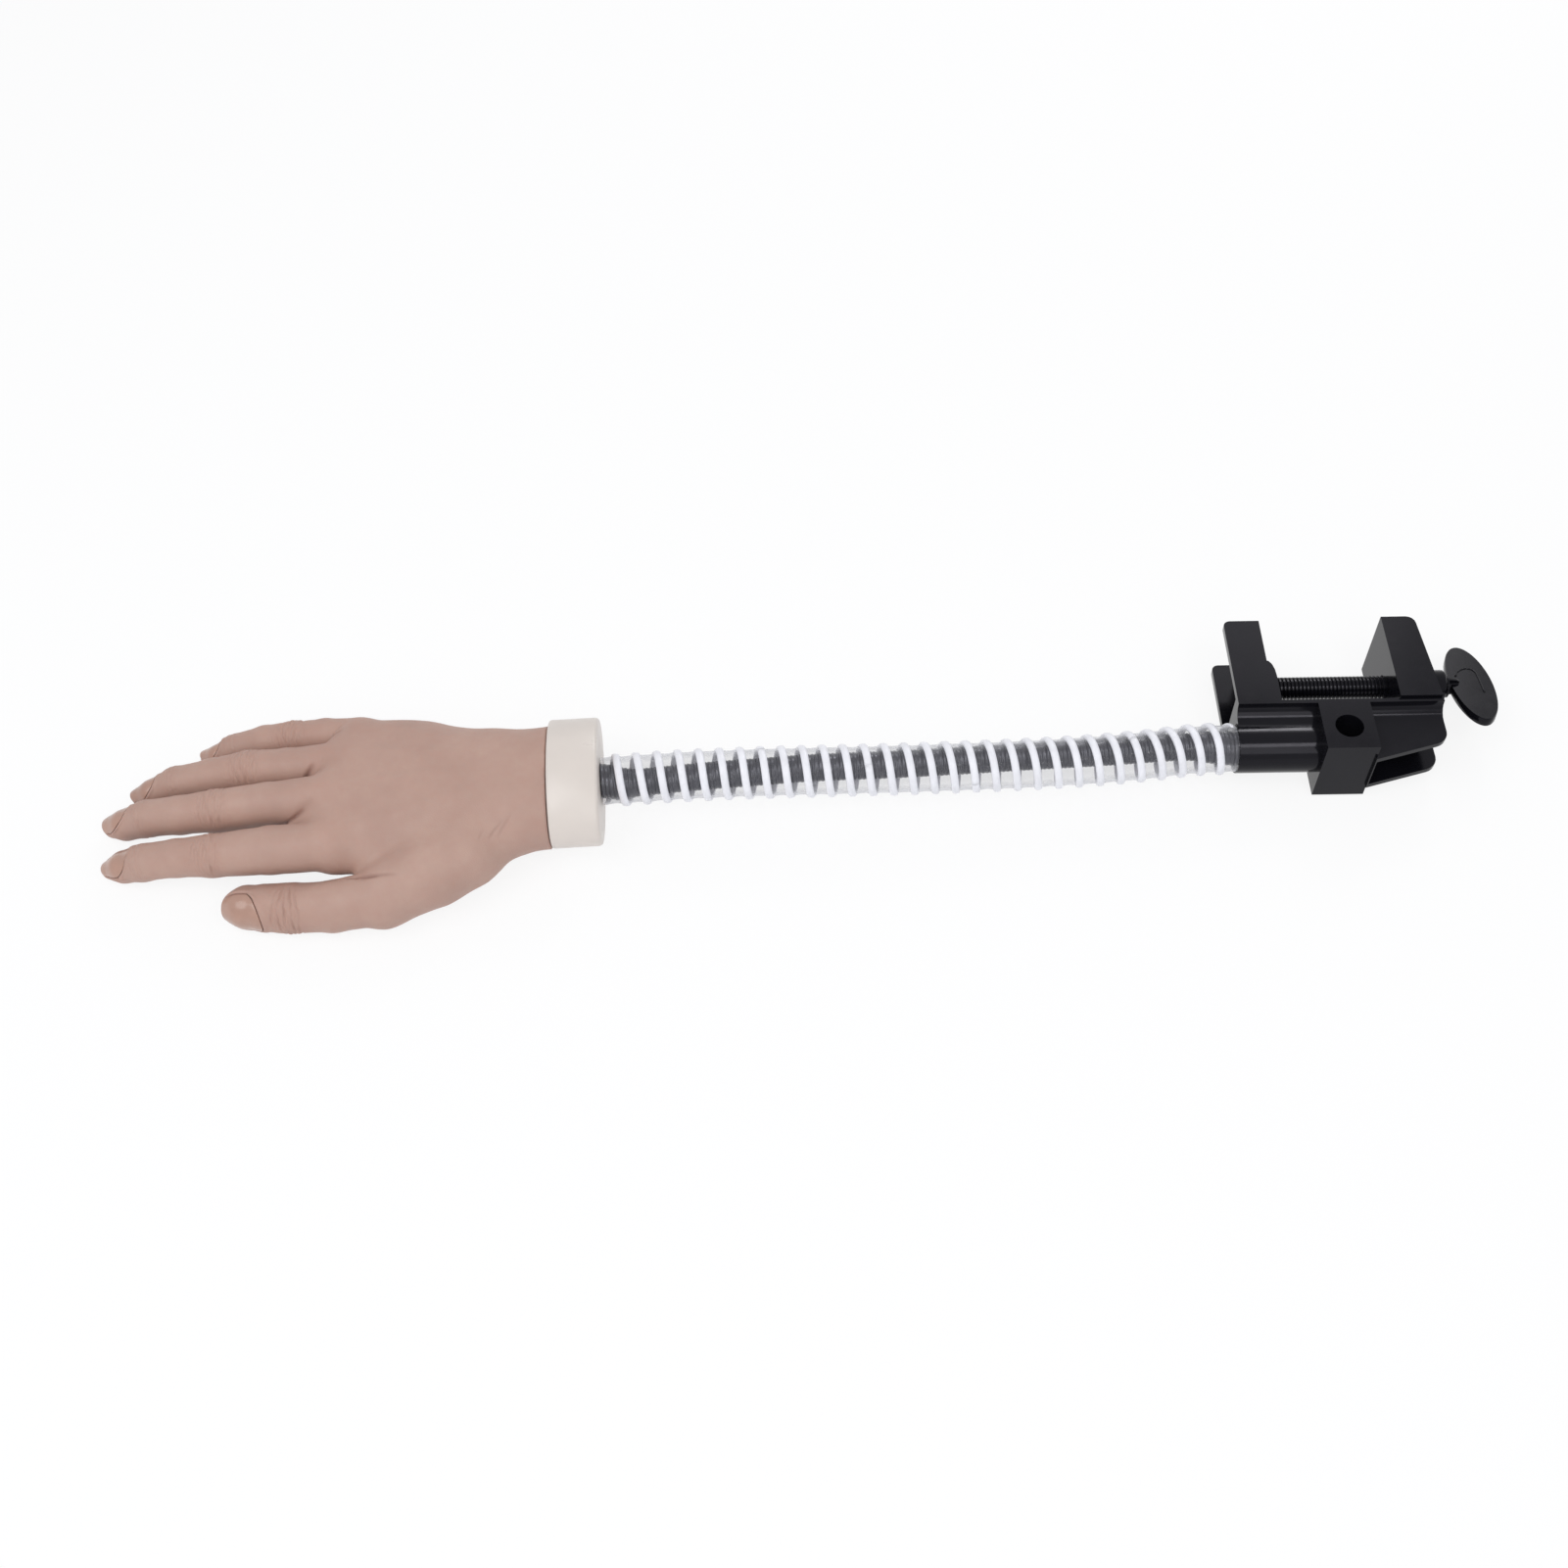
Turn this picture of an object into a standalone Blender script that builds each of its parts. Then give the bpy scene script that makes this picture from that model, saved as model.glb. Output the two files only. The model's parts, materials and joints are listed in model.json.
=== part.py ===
"""Nail practice hand on a bendable neck with a table clamp.

Metres, +Z up. The object lies on its side on a table, palm down, as it is stored.
The origin is on the fixed jaw's gripping face, in the middle of its flat part above the
screw: +X points across the jaws to the thumb plate, +Y points out along the jaws, and
the hand lies towards -X.
"""
import math

import bmesh
import bpy
from mathutils import Matrix, Vector

MM = 0.001

# Clearance between neighbours, and how far a cutter runs past what it cuts.
GAP = 0.3 * MM
OVERRUN = 3.0 * MM
MERGE = 0.01 * MM
EDGE_ROUND = 0.6 * MM

# Clamp body: fixed jaw, beam, neck socket, lamp pin block and rails.
JAW_REACH = 47.0 * MM
JAW_GAP = 56.0 * MM
BODY_WIDTH = 35.0 * MM
FIXED_JAW_DEPTH = 16.5 * MM
JAW_WALL = 3.2 * MM
JAW_TIP_ROUND = 3.0 * MM
ORIGIN_FROM_TIP = 8.0 * MM
PAD_DEPTH = 3.2 * MM
PAD_RISE = 23.0 * MM
PAD_BEND = 9.0 * MM
BEAM_LENGTH = 75.5 * MM
BEAM_FLANGE = 3.0 * MM
BEAM_EDGE = 2.0 * MM
BEAM_FILLET = 6.0 * MM
SOCKET_DIAMETER = 22.5 * MM
SOCKET_DROP = 13.7 * MM
SOCKET_FLOOR = 2.0 * MM
SOCKET_PROUD = 0.5 * MM
BLOCK_START = 19.0 * MM
BLOCK_LENGTH = 23.2 * MM
BLOCK_DROP = 27.5 * MM
PIN_HOLE_DIAMETER = 12.6 * MM
PIN_HOLE_DROP = 15.3 * MM
RAIL_SPREAD = 21.4 * MM
RAIL_WALL = 2.5 * MM
RAIL_ROOT_DROP = 29.0 * MM
RAIL_END_DROP = 21.0 * MM
RAIL_END_ROUND = 7.0 * MM

# Moving jaw, which slides along the beam on a tongue.
MOVING_JAW_WIDTH = 38.0 * MM
MOVING_JAW_TIP = 11.3 * MM
MOVING_JAW_ROOT = 18.9 * MM
MOVING_TIP_ROUND = 4.2 * MM
MOVING_BOSS_DIAMETER = 14.6 * MM
MOVING_BOSS_END = 28.0 * MM
MOVING_BOSS_ROUND = 1.2 * MM
TONGUE_WIDTH = 15.4 * MM
TONGUE_DEPTH = 2.9 * MM
TONGUE_LENGTH = 15.0 * MM
TONGUE_INSET = 1.5 * MM
JAW_TRAVEL = 47.25 * MM

# Clamp screw, its clip and the thumb plate. The screw turns in place in the fixed jaw, and
# the moving jaw's hub is its nut.
SCREW_RISE = 20.9 * MM
THREAD_DIAMETER = 10.0 * MM
THREAD_DEPTH = 0.9 * MM
THREAD_PITCH = 1.75 * MM
SHANK_DIAMETER = 9.6 * MM
SHANK_LENGTH = 5.0 * MM
JOURNAL_DIAMETER = 7.4 * MM
JOURNAL_END = 1.2 * MM
CLIP_DIAMETER = 13.6 * MM
CLIP_THICKNESS = 1.5 * MM
CLIP_GROOVE_DEPTH = 1.0 * MM
DRIVE_PIN_DIAMETER = 4.6 * MM
DRIVE_PIN_LENGTH = 6.0 * MM
PLATE_LENGTH = 54.0 * MM
PLATE_BREADTH = 19.5 * MM
PLATE_THICKNESS = 4.2 * MM
PLATE_NECK_LENGTH = 1.2 * MM
PLATE_NECK_DIAMETER = 7.6 * MM
PLATE_STEM_REACH = 5.0 * MM
PLATE_COLLAR_DIAMETER = 10.5 * MM
PLATE_COLLAR_LENGTH = 1.4 * MM
PLATE_TURN = math.radians(13.0)

# Bendable neck: jointed core inside a clear hose with a spiral rib.
HOSE_SPAN = 285.0 * MM
HOSE_DROP = 15.0 * MM
HOSE_LIFT = 3.0 * MM
HOSE_OUTER = 16.5 * MM
HOSE_WALL = 1.2 * MM
RIB_STRAND = 2.2 * MM
RIB_TURNS = 30.5
RIB_POINTS_PER_TURN = 8
RIB_START_TURN = 0.30
CORE_DIAMETER = 13.0 * MM
CORE_BALL = 9.2 * MM
CORE_NECK = 5.6 * MM
CORE_CUP = 10.8 * MM
CORE_LIP = 1.2 * MM
CORE_SHOULDER = 4.6 * MM
NECK_LINKS = 12
FERRULE_WALL = 0.9 * MM

# The hose leaves the clamp straight and drifts towards the thumb side on its way to the
# wrist. Each pair is a share of HOSE_SPAN and of HOSE_DROP.
ROUTE_SHARES = (
    (0.0, 0.0), (0.035, 0.01), (0.08, 0.08), (0.143, 0.24), (0.222, 0.39), (0.30, 0.49),
    (0.376, 0.56), (0.453, 0.61), (0.53, 0.66), (0.607, 0.69), (0.683, 0.715),
    (0.76, 0.75), (0.837, 0.80), (0.91, 0.88), (0.96, 0.955), (1.0, 1.0),
)

# Wrist: oval collar, and the nut that holds it on the neck's end fitting.
WRIST_YAW = math.radians(3.0)
COLLAR_PROUD = 0.9 * MM
COLLAR_LENGTH = 22.7 * MM
COLLAR_ROUND = 1.4 * MM
SPIGOT_STEP = 4.5 * MM
SPIGOT_LENGTH = 12.0 * MM
WRIST_FERRULE_WALL = 1.1 * MM
WASHER_DIAMETER = 22.0 * MM
WASHER_THICKNESS = 1.0 * MM
NUT_ACROSS = 21.0 * MM
NUT_THICKNESS = 5.0 * MM
NUT_ROOM = 27.0 * MM

# Hand. The tables below give places and radii as shares of HAND_LENGTH, from the wrist
# face: along the fingers, towards the thumb, and up.
HAND_LENGTH = 204.0 * MM
WIRE_DIAMETER = 2.0 * MM
WIRE_BORE = 3.0 * MM
CORE_PLATE_THICKNESS = 6.0 * MM
WIRE_SEAT = 6.0 * MM
NAIL_THICKNESS = 0.8 * MM
NAIL_RECESS = 4.0 * MM
FINGER_CUP_SET_BACK = 3.0 * MM
FINGER_SKIN = 1.25 * MM

# Palm sections: along, sideways, up, half breadth, half thickness, and how strongly the
# section bows back away from the middle knuckle.
PALM_SHARES = (
    (0.003, 0.005, 0.000, 0.1520, 0.1030, 0.0),
    (0.070, 0.004, 0.000, 0.1530, 0.0960, 0.0),
    (0.160, 0.000, 0.002, 0.1680, 0.0850, 0.2),
    (0.270, -0.003, 0.004, 0.1800, 0.0780, 0.8),
    (0.380, -0.010, 0.006, 0.1840, 0.0720, 1.6),
    (0.450, -0.014, 0.008, 0.1820, 0.0640, 2.2),
    (0.500, -0.016, 0.010, 0.1680, 0.0480, 2.4),
)
KNUCKLE_CREST_SHARE = 0.03
# Ball of the thumb, in the same columns.
THENAR_SHARES = (
    (0.080, 0.060, -0.015, 0.0600, 0.0550, 0.0),
    (0.150, 0.125, -0.018, 0.0860, 0.0700, 0.0),
    (0.250, 0.190, -0.024, 0.0800, 0.0680, 0.0),
    (0.345, 0.232, -0.036, 0.0660, 0.0600, 0.0),
    (0.400, 0.250, -0.042, 0.0580, 0.0560, 0.0),
)
# Flat core in the palm that the finger wires are set in: low and high corner.
CORE_PLATE_SHARES = ((0.20, -0.150, 0.0), (0.37, 0.150, 0.0))

# Each finger: knuckle root, bending point, middle joint and tip as places, then radii at
# those four, then how far the nail reaches back from the tip and its half breadth.
FINGER_SHARES = {
    "index": (((0.440, 0.138, 0.010), (0.614, 0.137, 0.000), (0.726, 0.128, -0.017),
               (0.976, 0.092, -0.0775)), (0.053, 0.0465, 0.0465, 0.0290), 0.068, 0.030),
    "middle": (((0.450, 0.022, 0.012), (0.625, 0.021, 0.005), (0.727, 0.017, -0.010),
                (0.990, -0.024, -0.0775)), (0.054, 0.0475, 0.0475, 0.0300), 0.070, 0.031),
    "ring": (((0.440, -0.088, 0.010), (0.586, -0.089, 0.000), (0.673, -0.096, -0.015),
              (0.942, -0.109, -0.0790)), (0.051, 0.0450, 0.0450, 0.0280), 0.065, 0.029),
    "little": (((0.400, -0.171, 0.000), (0.516, -0.186, -0.015), (0.580, -0.193, -0.025),
                (0.802, -0.200, -0.0810)), (0.046, 0.0400, 0.0400, 0.0250), 0.055, 0.025),
    "thumb": (((0.345, 0.234, -0.038), (0.464, 0.258, -0.049), (0.554, 0.2505, -0.059),
               (0.696, 0.228, -0.0765)), (0.060, 0.0545, 0.0530, 0.0360), 0.085, 0.037),
}
# Outline of the outer finger piece from its middle joint to its tip: share of its length,
# and how far the radius has gone from the joint's to the tip's.
TIP_TAPER_SHARES = ((0.25, 0.30), (0.45, 0.36), (0.62, 0.42), (0.80, 0.80), (0.90, 1.0))

# Turn that keeps the facets of a cutter off the facets of the piece it cuts.
CUT_TURN = math.radians(4.0)

# How far each wire runs into its fingertip.
WIRE_END_SHARE = 0.62

# Facets round each kind of piece.
STEPS_LARGE = 30
STEPS_OVAL = 34
STEPS_ROUND = 24
STEPS_LINK = 10
STEPS_FINGER = 14
STEPS_SMALL = 16
STEPS_THREAD = 10
STEPS_BORE = 6
STEPS_HOLLOW = 12
PALM_SIDES = 24

# Places that follow from the sizes.
JAW_TIP = ORIGIN_FROM_TIP
BEAM_TOP = JAW_TIP - JAW_REACH
SCREW_AXIS = BEAM_TOP + SCREW_RISE
SOCKET_AXIS = BEAM_TOP - SOCKET_DROP
BODY_HALF = BODY_WIDTH / 2
COLLAR_HALF_BREADTH = HAND_LENGTH * PALM_SHARES[0][3] + COLLAR_PROUD
COLLAR_HALF_HEIGHT = HAND_LENGTH * PALM_SHARES[0][4] + COLLAR_PROUD
CORE_RADIUS = CORE_DIAMETER / 2
SOCKET_BORE = CORE_DIAMETER + 2 * (FERRULE_WALL + 2 * GAP)
FERRULE_BORE = CORE_DIAMETER + 2 * GAP
WRIST_FERRULE_OUTER = FERRULE_BORE + 2 * WRIST_FERRULE_WALL
COLLAR_BORE = WRIST_FERRULE_OUTER + 2 * GAP
SCREW_BORE = THREAD_DIAMETER + 2 * GAP
FERRULE_END = COLLAR_LENGTH + SPIGOT_LENGTH + WASHER_THICKNESS + NUT_THICKNESS + 3 * GAP

MODEL = bpy.data.collections.new("nail_practice_hand")
CUTTERS = bpy.data.collections.new("cutters")


def clear_scene():
    """Remove what the file holds, and add the two collections."""
    for old in list(bpy.data.objects):
        bpy.data.objects.remove(old, do_unlink=True)
    for collection in (MODEL, CUTTERS):
        bpy.context.scene.collection.children.link(collection)


def material(name, colour, roughness, metallic=0.0, alpha=1.0):
    """A Principled material for one piece."""
    made = bpy.data.materials.new(name)
    made.use_nodes = True
    shader = made.node_tree.nodes["Principled BSDF"]
    shader.inputs["Base Color"].default_value = (*colour, 1.0)
    shader.inputs["Roughness"].default_value = roughness
    shader.inputs["Metallic"].default_value = metallic
    shader.inputs["Alpha"].default_value = alpha
    return made


def black_plastic(name):
    return material(name, (0.012, 0.012, 0.014), 0.28)


def steel(name):
    return material(name, (0.42, 0.43, 0.45), 0.25, 1.0)


def silicone(name):
    return material(name, (0.48, 0.32, 0.26), 0.55)


def add_object(name, mesh, finish=None, place=None):
    """Put a mesh in the model with its own finish, or among the cutters without one."""
    made = bpy.data.objects.new(name, mesh)
    if place is not None:
        made.matrix_world = place
    if finish is None:
        CUTTERS.objects.link(made)
        made.hide_render = True
        made.display_type = "WIRE"
    else:
        MODEL.objects.link(made)
        mesh.materials.append(finish)
    return made


def carve(target, cutter, operation="DIFFERENCE"):
    """Cut a cutter from a piece, or join or cross them."""
    change = target.modifiers.new(cutter.name, "BOOLEAN")
    change.object = cutter
    change.operation = operation
    change.solver = "EXACT"


def round_edges(piece, width=EDGE_ROUND, angle=math.radians(40.0)):
    """Break the sharp edges of a moulded piece."""
    bevel = piece.modifiers.new("edges", "BEVEL")
    bevel.width = width
    bevel.segments = 1
    bevel.limit_method = "ANGLE"
    bevel.angle_limit = angle


def box(name, low, high, finish=None):
    """A box between two corners."""
    low, high = Vector(low), Vector(high)
    shape = bmesh.new()
    bmesh.ops.create_cube(shape, size=1.0)
    bmesh.ops.scale(shape, vec=high - low, verts=shape.verts)
    bmesh.ops.translate(shape, vec=(low + high) / 2, verts=shape.verts)
    mesh = bpy.data.meshes.new(name)
    shape.to_mesh(mesh)
    shape.free()
    return add_object(name, mesh, finish)


def frame_at(origin, direction, up=Vector((0, 0, 1))):
    """A placement whose Z runs along the direction and whose X is nearest to up."""
    z_axis = Vector(direction).normalized()
    if abs(up.dot(z_axis)) > 1 - MERGE:
        up = Vector((0, 1, 0))
    x_axis = (up - up.dot(z_axis) * z_axis).normalized()
    y_axis = z_axis.cross(x_axis)
    turn = Matrix((x_axis, y_axis, z_axis)).transposed().to_4x4()
    return Matrix.Translation(origin) @ turn


def turned(name, outline, place, steps, finish=None, bored=False):
    """Turn an outline of (height, radius) pairs, given from its top down, round local Z."""
    mesh = bpy.data.meshes.new(name)
    if finish is None:
        place = place @ Matrix.Rotation(CUT_TURN, 4, "Z")
    corners = [(radius, 0.0, height) for height, radius in outline]
    edges = [(i, i + 1) for i in range(len(corners) - 1)]
    if bored:
        edges.append((len(corners) - 1, 0))
    mesh.from_pydata(corners, edges, [])
    piece = add_object(name, mesh, finish, place)
    screw = piece.modifiers.new("turn", "SCREW")
    screw.steps = steps
    screw.render_steps = steps
    screw.use_merge_vertices = True
    screw.merge_threshold = MERGE
    return piece


def rod(name, start, end, diameter, steps=STEPS_ROUND, finish=None):
    """A plain round bar between two points."""
    start, end = Vector(start), Vector(end)
    length = (end - start).length
    outline = [(length, 0.0), (length, diameter / 2), (0.0, diameter / 2), (0.0, 0.0)]
    return turned(name, outline, frame_at(start, end - start), steps, finish)


def ring(name, start, end, outer, inner, steps=STEPS_ROUND, finish=None):
    """A plain round tube between two points."""
    start, end = Vector(start), Vector(end)
    length = (end - start).length
    outline = [(length, inner / 2), (length, outer / 2), (0.0, outer / 2), (0.0, inner / 2)]
    return turned(name, outline, frame_at(start, end - start), steps, finish, bored=True)


def arc(centre, radius, start, end, count):
    """Points on a circle, in a plane, from one angle to another in radians."""
    angles = [start + (end - start) * i / count for i in range(count + 1)]
    return [(centre[0] + radius * math.cos(a), centre[1] + radius * math.sin(a)) for a in angles]


def extruded(name, outline, low, high, place=None, finish=None):
    """A flat outline in local XY, made solid between two heights."""
    curve = bpy.data.curves.new(name, "CURVE")
    curve.dimensions = "2D"
    curve.fill_mode = "BOTH"
    curve.extrude = (high - low) / 2
    line = curve.splines.new("POLY")
    line.points.add(len(outline) - 1)
    for point, (across, along) in zip(line.points, outline):
        point.co = (across, along, 0.0, 1.0)
    line.use_cyclic_u = True
    guide = bpy.data.objects.new(name, curve)
    CUTTERS.objects.link(guide)
    solid = bpy.data.meshes.new_from_object(guide.evaluated_get(bpy.context.evaluated_depsgraph_get()))
    bpy.data.objects.remove(guide, do_unlink=True)
    shape = bmesh.new()
    shape.from_mesh(solid)
    bmesh.ops.remove_doubles(shape, verts=shape.verts, dist=MERGE)
    bmesh.ops.translate(shape, vec=(0, 0, (low + high) / 2), verts=shape.verts)
    bmesh.ops.recalc_face_normals(shape, faces=shape.faces)
    shape.to_mesh(solid)
    shape.free()
    solid.name = name
    return add_object(name, solid, finish, place)


def cap(shape, row):
    """Close a ring of points with strips across it, each of them flat."""
    sides = len(row)
    for k in range(sides // 2):
        corners = (row[k], row[k + 1], row[sides - k - 1], row[(sides - k) % sides])
        shape.faces.new(list(dict.fromkeys(corners)))


def loft(name, rings, finish=None):
    """A closed skin through rings of points, capped at both ends."""
    shape = bmesh.new()
    rows = [[shape.verts.new(point) for point in row] for row in rings]
    sides = len(rows[0])
    for near, far in zip(rows, rows[1:]):
        for i in range(sides):
            j = (i + 1) % sides
            shape.faces.new((near[i], near[j], far[j], far[i]))
    cap(shape, rows[0])
    cap(shape, rows[-1])
    bmesh.ops.recalc_face_normals(shape, faces=shape.faces)
    mesh = bpy.data.meshes.new(name)
    shape.to_mesh(mesh)
    shape.free()
    return add_object(name, mesh, finish)


def shade_round(piece, angle=math.radians(35.0)):
    """Smooth shading with sharp corners kept."""
    piece.data.shade_smooth()
    piece.data.set_sharp_from_angle(angle=angle)


def cross_section(width, height):
    """Placement for an outline drawn in Y and Z that is made solid along X."""
    return Matrix(((0, 0, 1, 0), (1, 0, 0, width), (0, 1, 0, height), (0, 0, 0, 1)))


def beam_outline(foot):
    """The beam's section: a thin flange that curves in to the piece below it."""
    half = RAIL_SPREAD / 2
    bend = (half + BEAM_FILLET, -BEAM_EDGE - BEAM_FILLET)
    side = arc(bend, BEAM_FILLET, math.pi / 2, math.pi, 5)
    right = [(BODY_HALF, 0.0), (BODY_HALF, -BEAM_EDGE)] + side + [(half, -foot)]
    left = [(-across, drop) for across, drop in reversed(right)]
    return [(drop, across) for across, drop in right + left]


def rail_outline():
    """Side view of the two rails, from the pin block to their rounded end."""
    start = BLOCK_START + BLOCK_LENGTH - EDGE_ROUND
    corner = (BEAM_LENGTH - RAIL_END_ROUND, BEAM_TOP - RAIL_END_DROP + RAIL_END_ROUND)
    outline = [(start, BEAM_TOP - BEAM_EDGE), (BEAM_LENGTH, BEAM_TOP - BEAM_EDGE)]
    outline += arc(corner, RAIL_END_ROUND, 0.0, -math.pi * 0.42, 5)
    return outline + [(start, BEAM_TOP - RAIL_ROOT_DROP)]


def make_clamp_body():
    """Fixed jaw, beam, socket, pin block and rails, moulded in one."""
    pad_top = BEAM_TOP + PAD_RISE
    jaw_outline = [(PAD_DEPTH, BEAM_TOP - BEAM_EDGE), (PAD_DEPTH, pad_top - PAD_BEND)]
    for degrees in (25.0, 50.0, 75.0, 90.0):
        lean = math.radians(degrees)
        jaw_outline.append((PAD_DEPTH * math.cos(lean), pad_top - PAD_BEND + PAD_BEND * math.sin(lean)))
    jaw_outline += [(0.0, JAW_TIP)]
    jaw_outline += arc((-FIXED_JAW_DEPTH + JAW_TIP_ROUND, JAW_TIP - JAW_TIP_ROUND), JAW_TIP_ROUND,
                       math.pi / 2, math.pi, 4)
    jaw_outline += [(-FIXED_JAW_DEPTH, BEAM_TOP - BEAM_EDGE)]
    body = extruded("clamp_body", jaw_outline, -BODY_HALF, BODY_HALF, finish=black_plastic("body"))
    inner = BODY_HALF - JAW_WALL
    carve(body, box("jaw_pocket", (-FIXED_JAW_DEPTH - OVERRUN, BEAM_TOP + JAW_WALL, -inner),
                    (-JAW_WALL, JAW_TIP + OVERRUN, inner)))
    over_socket = extruded("beam_over_socket", beam_outline(SOCKET_DROP), -FIXED_JAW_DEPTH,
                           BLOCK_START + EDGE_ROUND, cross_section(BEAM_TOP, 0.0))
    carve(body, over_socket, "UNION")
    carve(body, rod("socket_wall", (-FIXED_JAW_DEPTH - SOCKET_PROUD, SOCKET_AXIS, 0),
                    (BLOCK_START + EDGE_ROUND, SOCKET_AXIS, 0), SOCKET_DIAMETER, STEPS_LARGE), "UNION")
    carve(body, box("pin_block", (BLOCK_START, BEAM_TOP - BLOCK_DROP, -BODY_HALF),
                    (BLOCK_START + BLOCK_LENGTH, BEAM_TOP, BODY_HALF)), "UNION")
    over_rails = extruded("beam_over_rails", beam_outline(BEAM_EDGE + BEAM_FILLET + EDGE_ROUND),
                          BLOCK_START + BLOCK_LENGTH - EDGE_ROUND, BEAM_LENGTH,
                          cross_section(BEAM_TOP, 0.0))
    carve(body, over_rails, "UNION")
    rails = extruded("rails", rail_outline(), -RAIL_SPREAD / 2, RAIL_SPREAD / 2)
    carve(body, rails, "UNION")
    between = RAIL_SPREAD / 2 - RAIL_WALL
    rails_start = BLOCK_START + BLOCK_LENGTH
    carve(body, box("between_rails", (rails_start, BEAM_TOP - BLOCK_DROP - OVERRUN, -between),
                    (BEAM_LENGTH + OVERRUN, BEAM_TOP - BEAM_FLANGE, between)))
    carve(body, rod("journal_bore", (-JAW_WALL - OVERRUN, SCREW_AXIS, 0),
                    (PAD_DEPTH + OVERRUN, SCREW_AXIS, 0), JOURNAL_DIAMETER + 2 * GAP))
    carve(body, rod("socket_bore", (-FIXED_JAW_DEPTH - OVERRUN, SOCKET_AXIS, 0),
                    (BLOCK_START - SOCKET_FLOOR, SOCKET_AXIS, 0), SOCKET_BORE))
    slot_half = TONGUE_WIDTH / 2 + GAP
    slot_start = TONGUE_INSET + JAW_GAP - JAW_TRAVEL - GAP
    carve(body, box("tongue_slot", (slot_start, BEAM_TOP - TONGUE_DEPTH - GAP, -slot_half),
                    (BEAM_LENGTH + OVERRUN, BEAM_TOP + OVERRUN, slot_half)))
    hole = (BLOCK_START + BLOCK_LENGTH / 2, BEAM_TOP - PIN_HOLE_DROP)
    carve(body, rod("pin_hole", (*hole, -BODY_HALF - OVERRUN), (*hole, BODY_HALF + OVERRUN),
                    PIN_HOLE_DIAMETER, STEPS_LARGE))
    shade_round(body)


def make_moving_jaw():
    """Jaw that the screw drives, hollow at its back, with a tongue in the beam's slot."""
    foot = BEAM_TOP + GAP
    half = MOVING_JAW_WIDTH / 2
    outline = [(JAW_GAP, foot), (JAW_GAP + MOVING_JAW_ROOT, foot),
               (JAW_GAP + MOVING_JAW_TIP + MOVING_TIP_ROUND, JAW_TIP - MOVING_TIP_ROUND)]
    outline += arc((JAW_GAP + MOVING_JAW_TIP, JAW_TIP - MOVING_TIP_ROUND), MOVING_TIP_ROUND,
                   0.0, math.pi / 2, 4)
    outline += [(JAW_GAP, JAW_TIP)]
    jaw = extruded("moving_jaw", outline, -half, half, finish=black_plastic("jaw"))
    inner = half - JAW_WALL
    back = JAW_GAP + MOVING_JAW_ROOT + OVERRUN
    carve(jaw, box("moving_pocket", (JAW_GAP + JAW_WALL, foot + JAW_WALL, -inner),
                   (back, JAW_TIP - JAW_WALL, inner)))
    carve(jaw, box("tongue", (JAW_GAP + TONGUE_INSET, BEAM_TOP - TONGUE_DEPTH, -TONGUE_WIDTH / 2),
                   (JAW_GAP + TONGUE_INSET + TONGUE_LENGTH, foot + EDGE_ROUND, TONGUE_WIDTH / 2)), "UNION")
    boss_radius = MOVING_BOSS_DIAMETER / 2
    turn = MOVING_BOSS_ROUND
    hollow = THREAD_DIAMETER / 4
    outline = [(MOVING_BOSS_END, hollow)]
    rim = arc((boss_radius - turn, MOVING_BOSS_END - turn), turn, math.pi / 2, 0.0, 3)
    outline += [(height, radius) for radius, height in rim]
    outline += [(JAW_WALL / 2, boss_radius), (JAW_WALL / 2, hollow)]
    boss = turned("moving_boss", outline, frame_at((JAW_GAP, SCREW_AXIS, 0), (1, 0, 0)), STEPS_ROUND,
                  bored=True)
    carve(jaw, boss, "UNION")
    carve(jaw, rod("moving_bore", (JAW_GAP - OVERRUN, SCREW_AXIS, 0),
                   (JAW_GAP + MOVING_BOSS_END + OVERRUN, SCREW_AXIS, 0), SCREW_BORE, STEPS_SMALL))
    shade_round(jaw)


def thread_mesh(name, length):
    """A threaded bar along local Z: a crest line and a root line wound side by side."""
    turns = int(length / THREAD_PITCH)
    crest = THREAD_DIAMETER / 2
    root = crest - THREAD_DEPTH
    count = turns * STEPS_THREAD
    shape = bmesh.new()
    lines = []
    for radius, lag in ((crest, 0.0), (root, 0.5)):
        line = []
        for i in range(count + 1):
            turn = math.tau * i / STEPS_THREAD
            height = (i / STEPS_THREAD + lag) * THREAD_PITCH
            line.append(shape.verts.new((radius * math.cos(turn), radius * math.sin(turn), height)))
        lines.append(line)
    crests, roots = lines
    for i in range(count):
        shape.faces.new((crests[i], crests[i + 1], roots[i + 1], roots[i]))
        if i + STEPS_THREAD < count:
            above = i + STEPS_THREAD
            shape.faces.new((roots[i], roots[i + 1], crests[above + 1], crests[above]))
    last = count - STEPS_THREAD
    shape.faces.new((roots[last], roots[last + 1], crests[count]))
    low = shape.verts.new((0, 0, -THREAD_PITCH / 4))
    high = shape.verts.new((0, 0, count / STEPS_THREAD * THREAD_PITCH + THREAD_PITCH / 2))
    rim_low = [roots[0]] + crests[:STEPS_THREAD + 1]
    rim_high = [crests[count]] + roots[last + 1:]
    for pole, rim in ((low, rim_low), (high, rim_high)):
        for i, corner in enumerate(rim):
            shape.faces.new((pole, corner, rim[(i + 1) % len(rim)]))
    bmesh.ops.recalc_face_normals(shape, faces=shape.faces)
    mesh = bpy.data.meshes.new(name)
    shape.to_mesh(mesh)
    shape.free()
    return mesh


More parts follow.
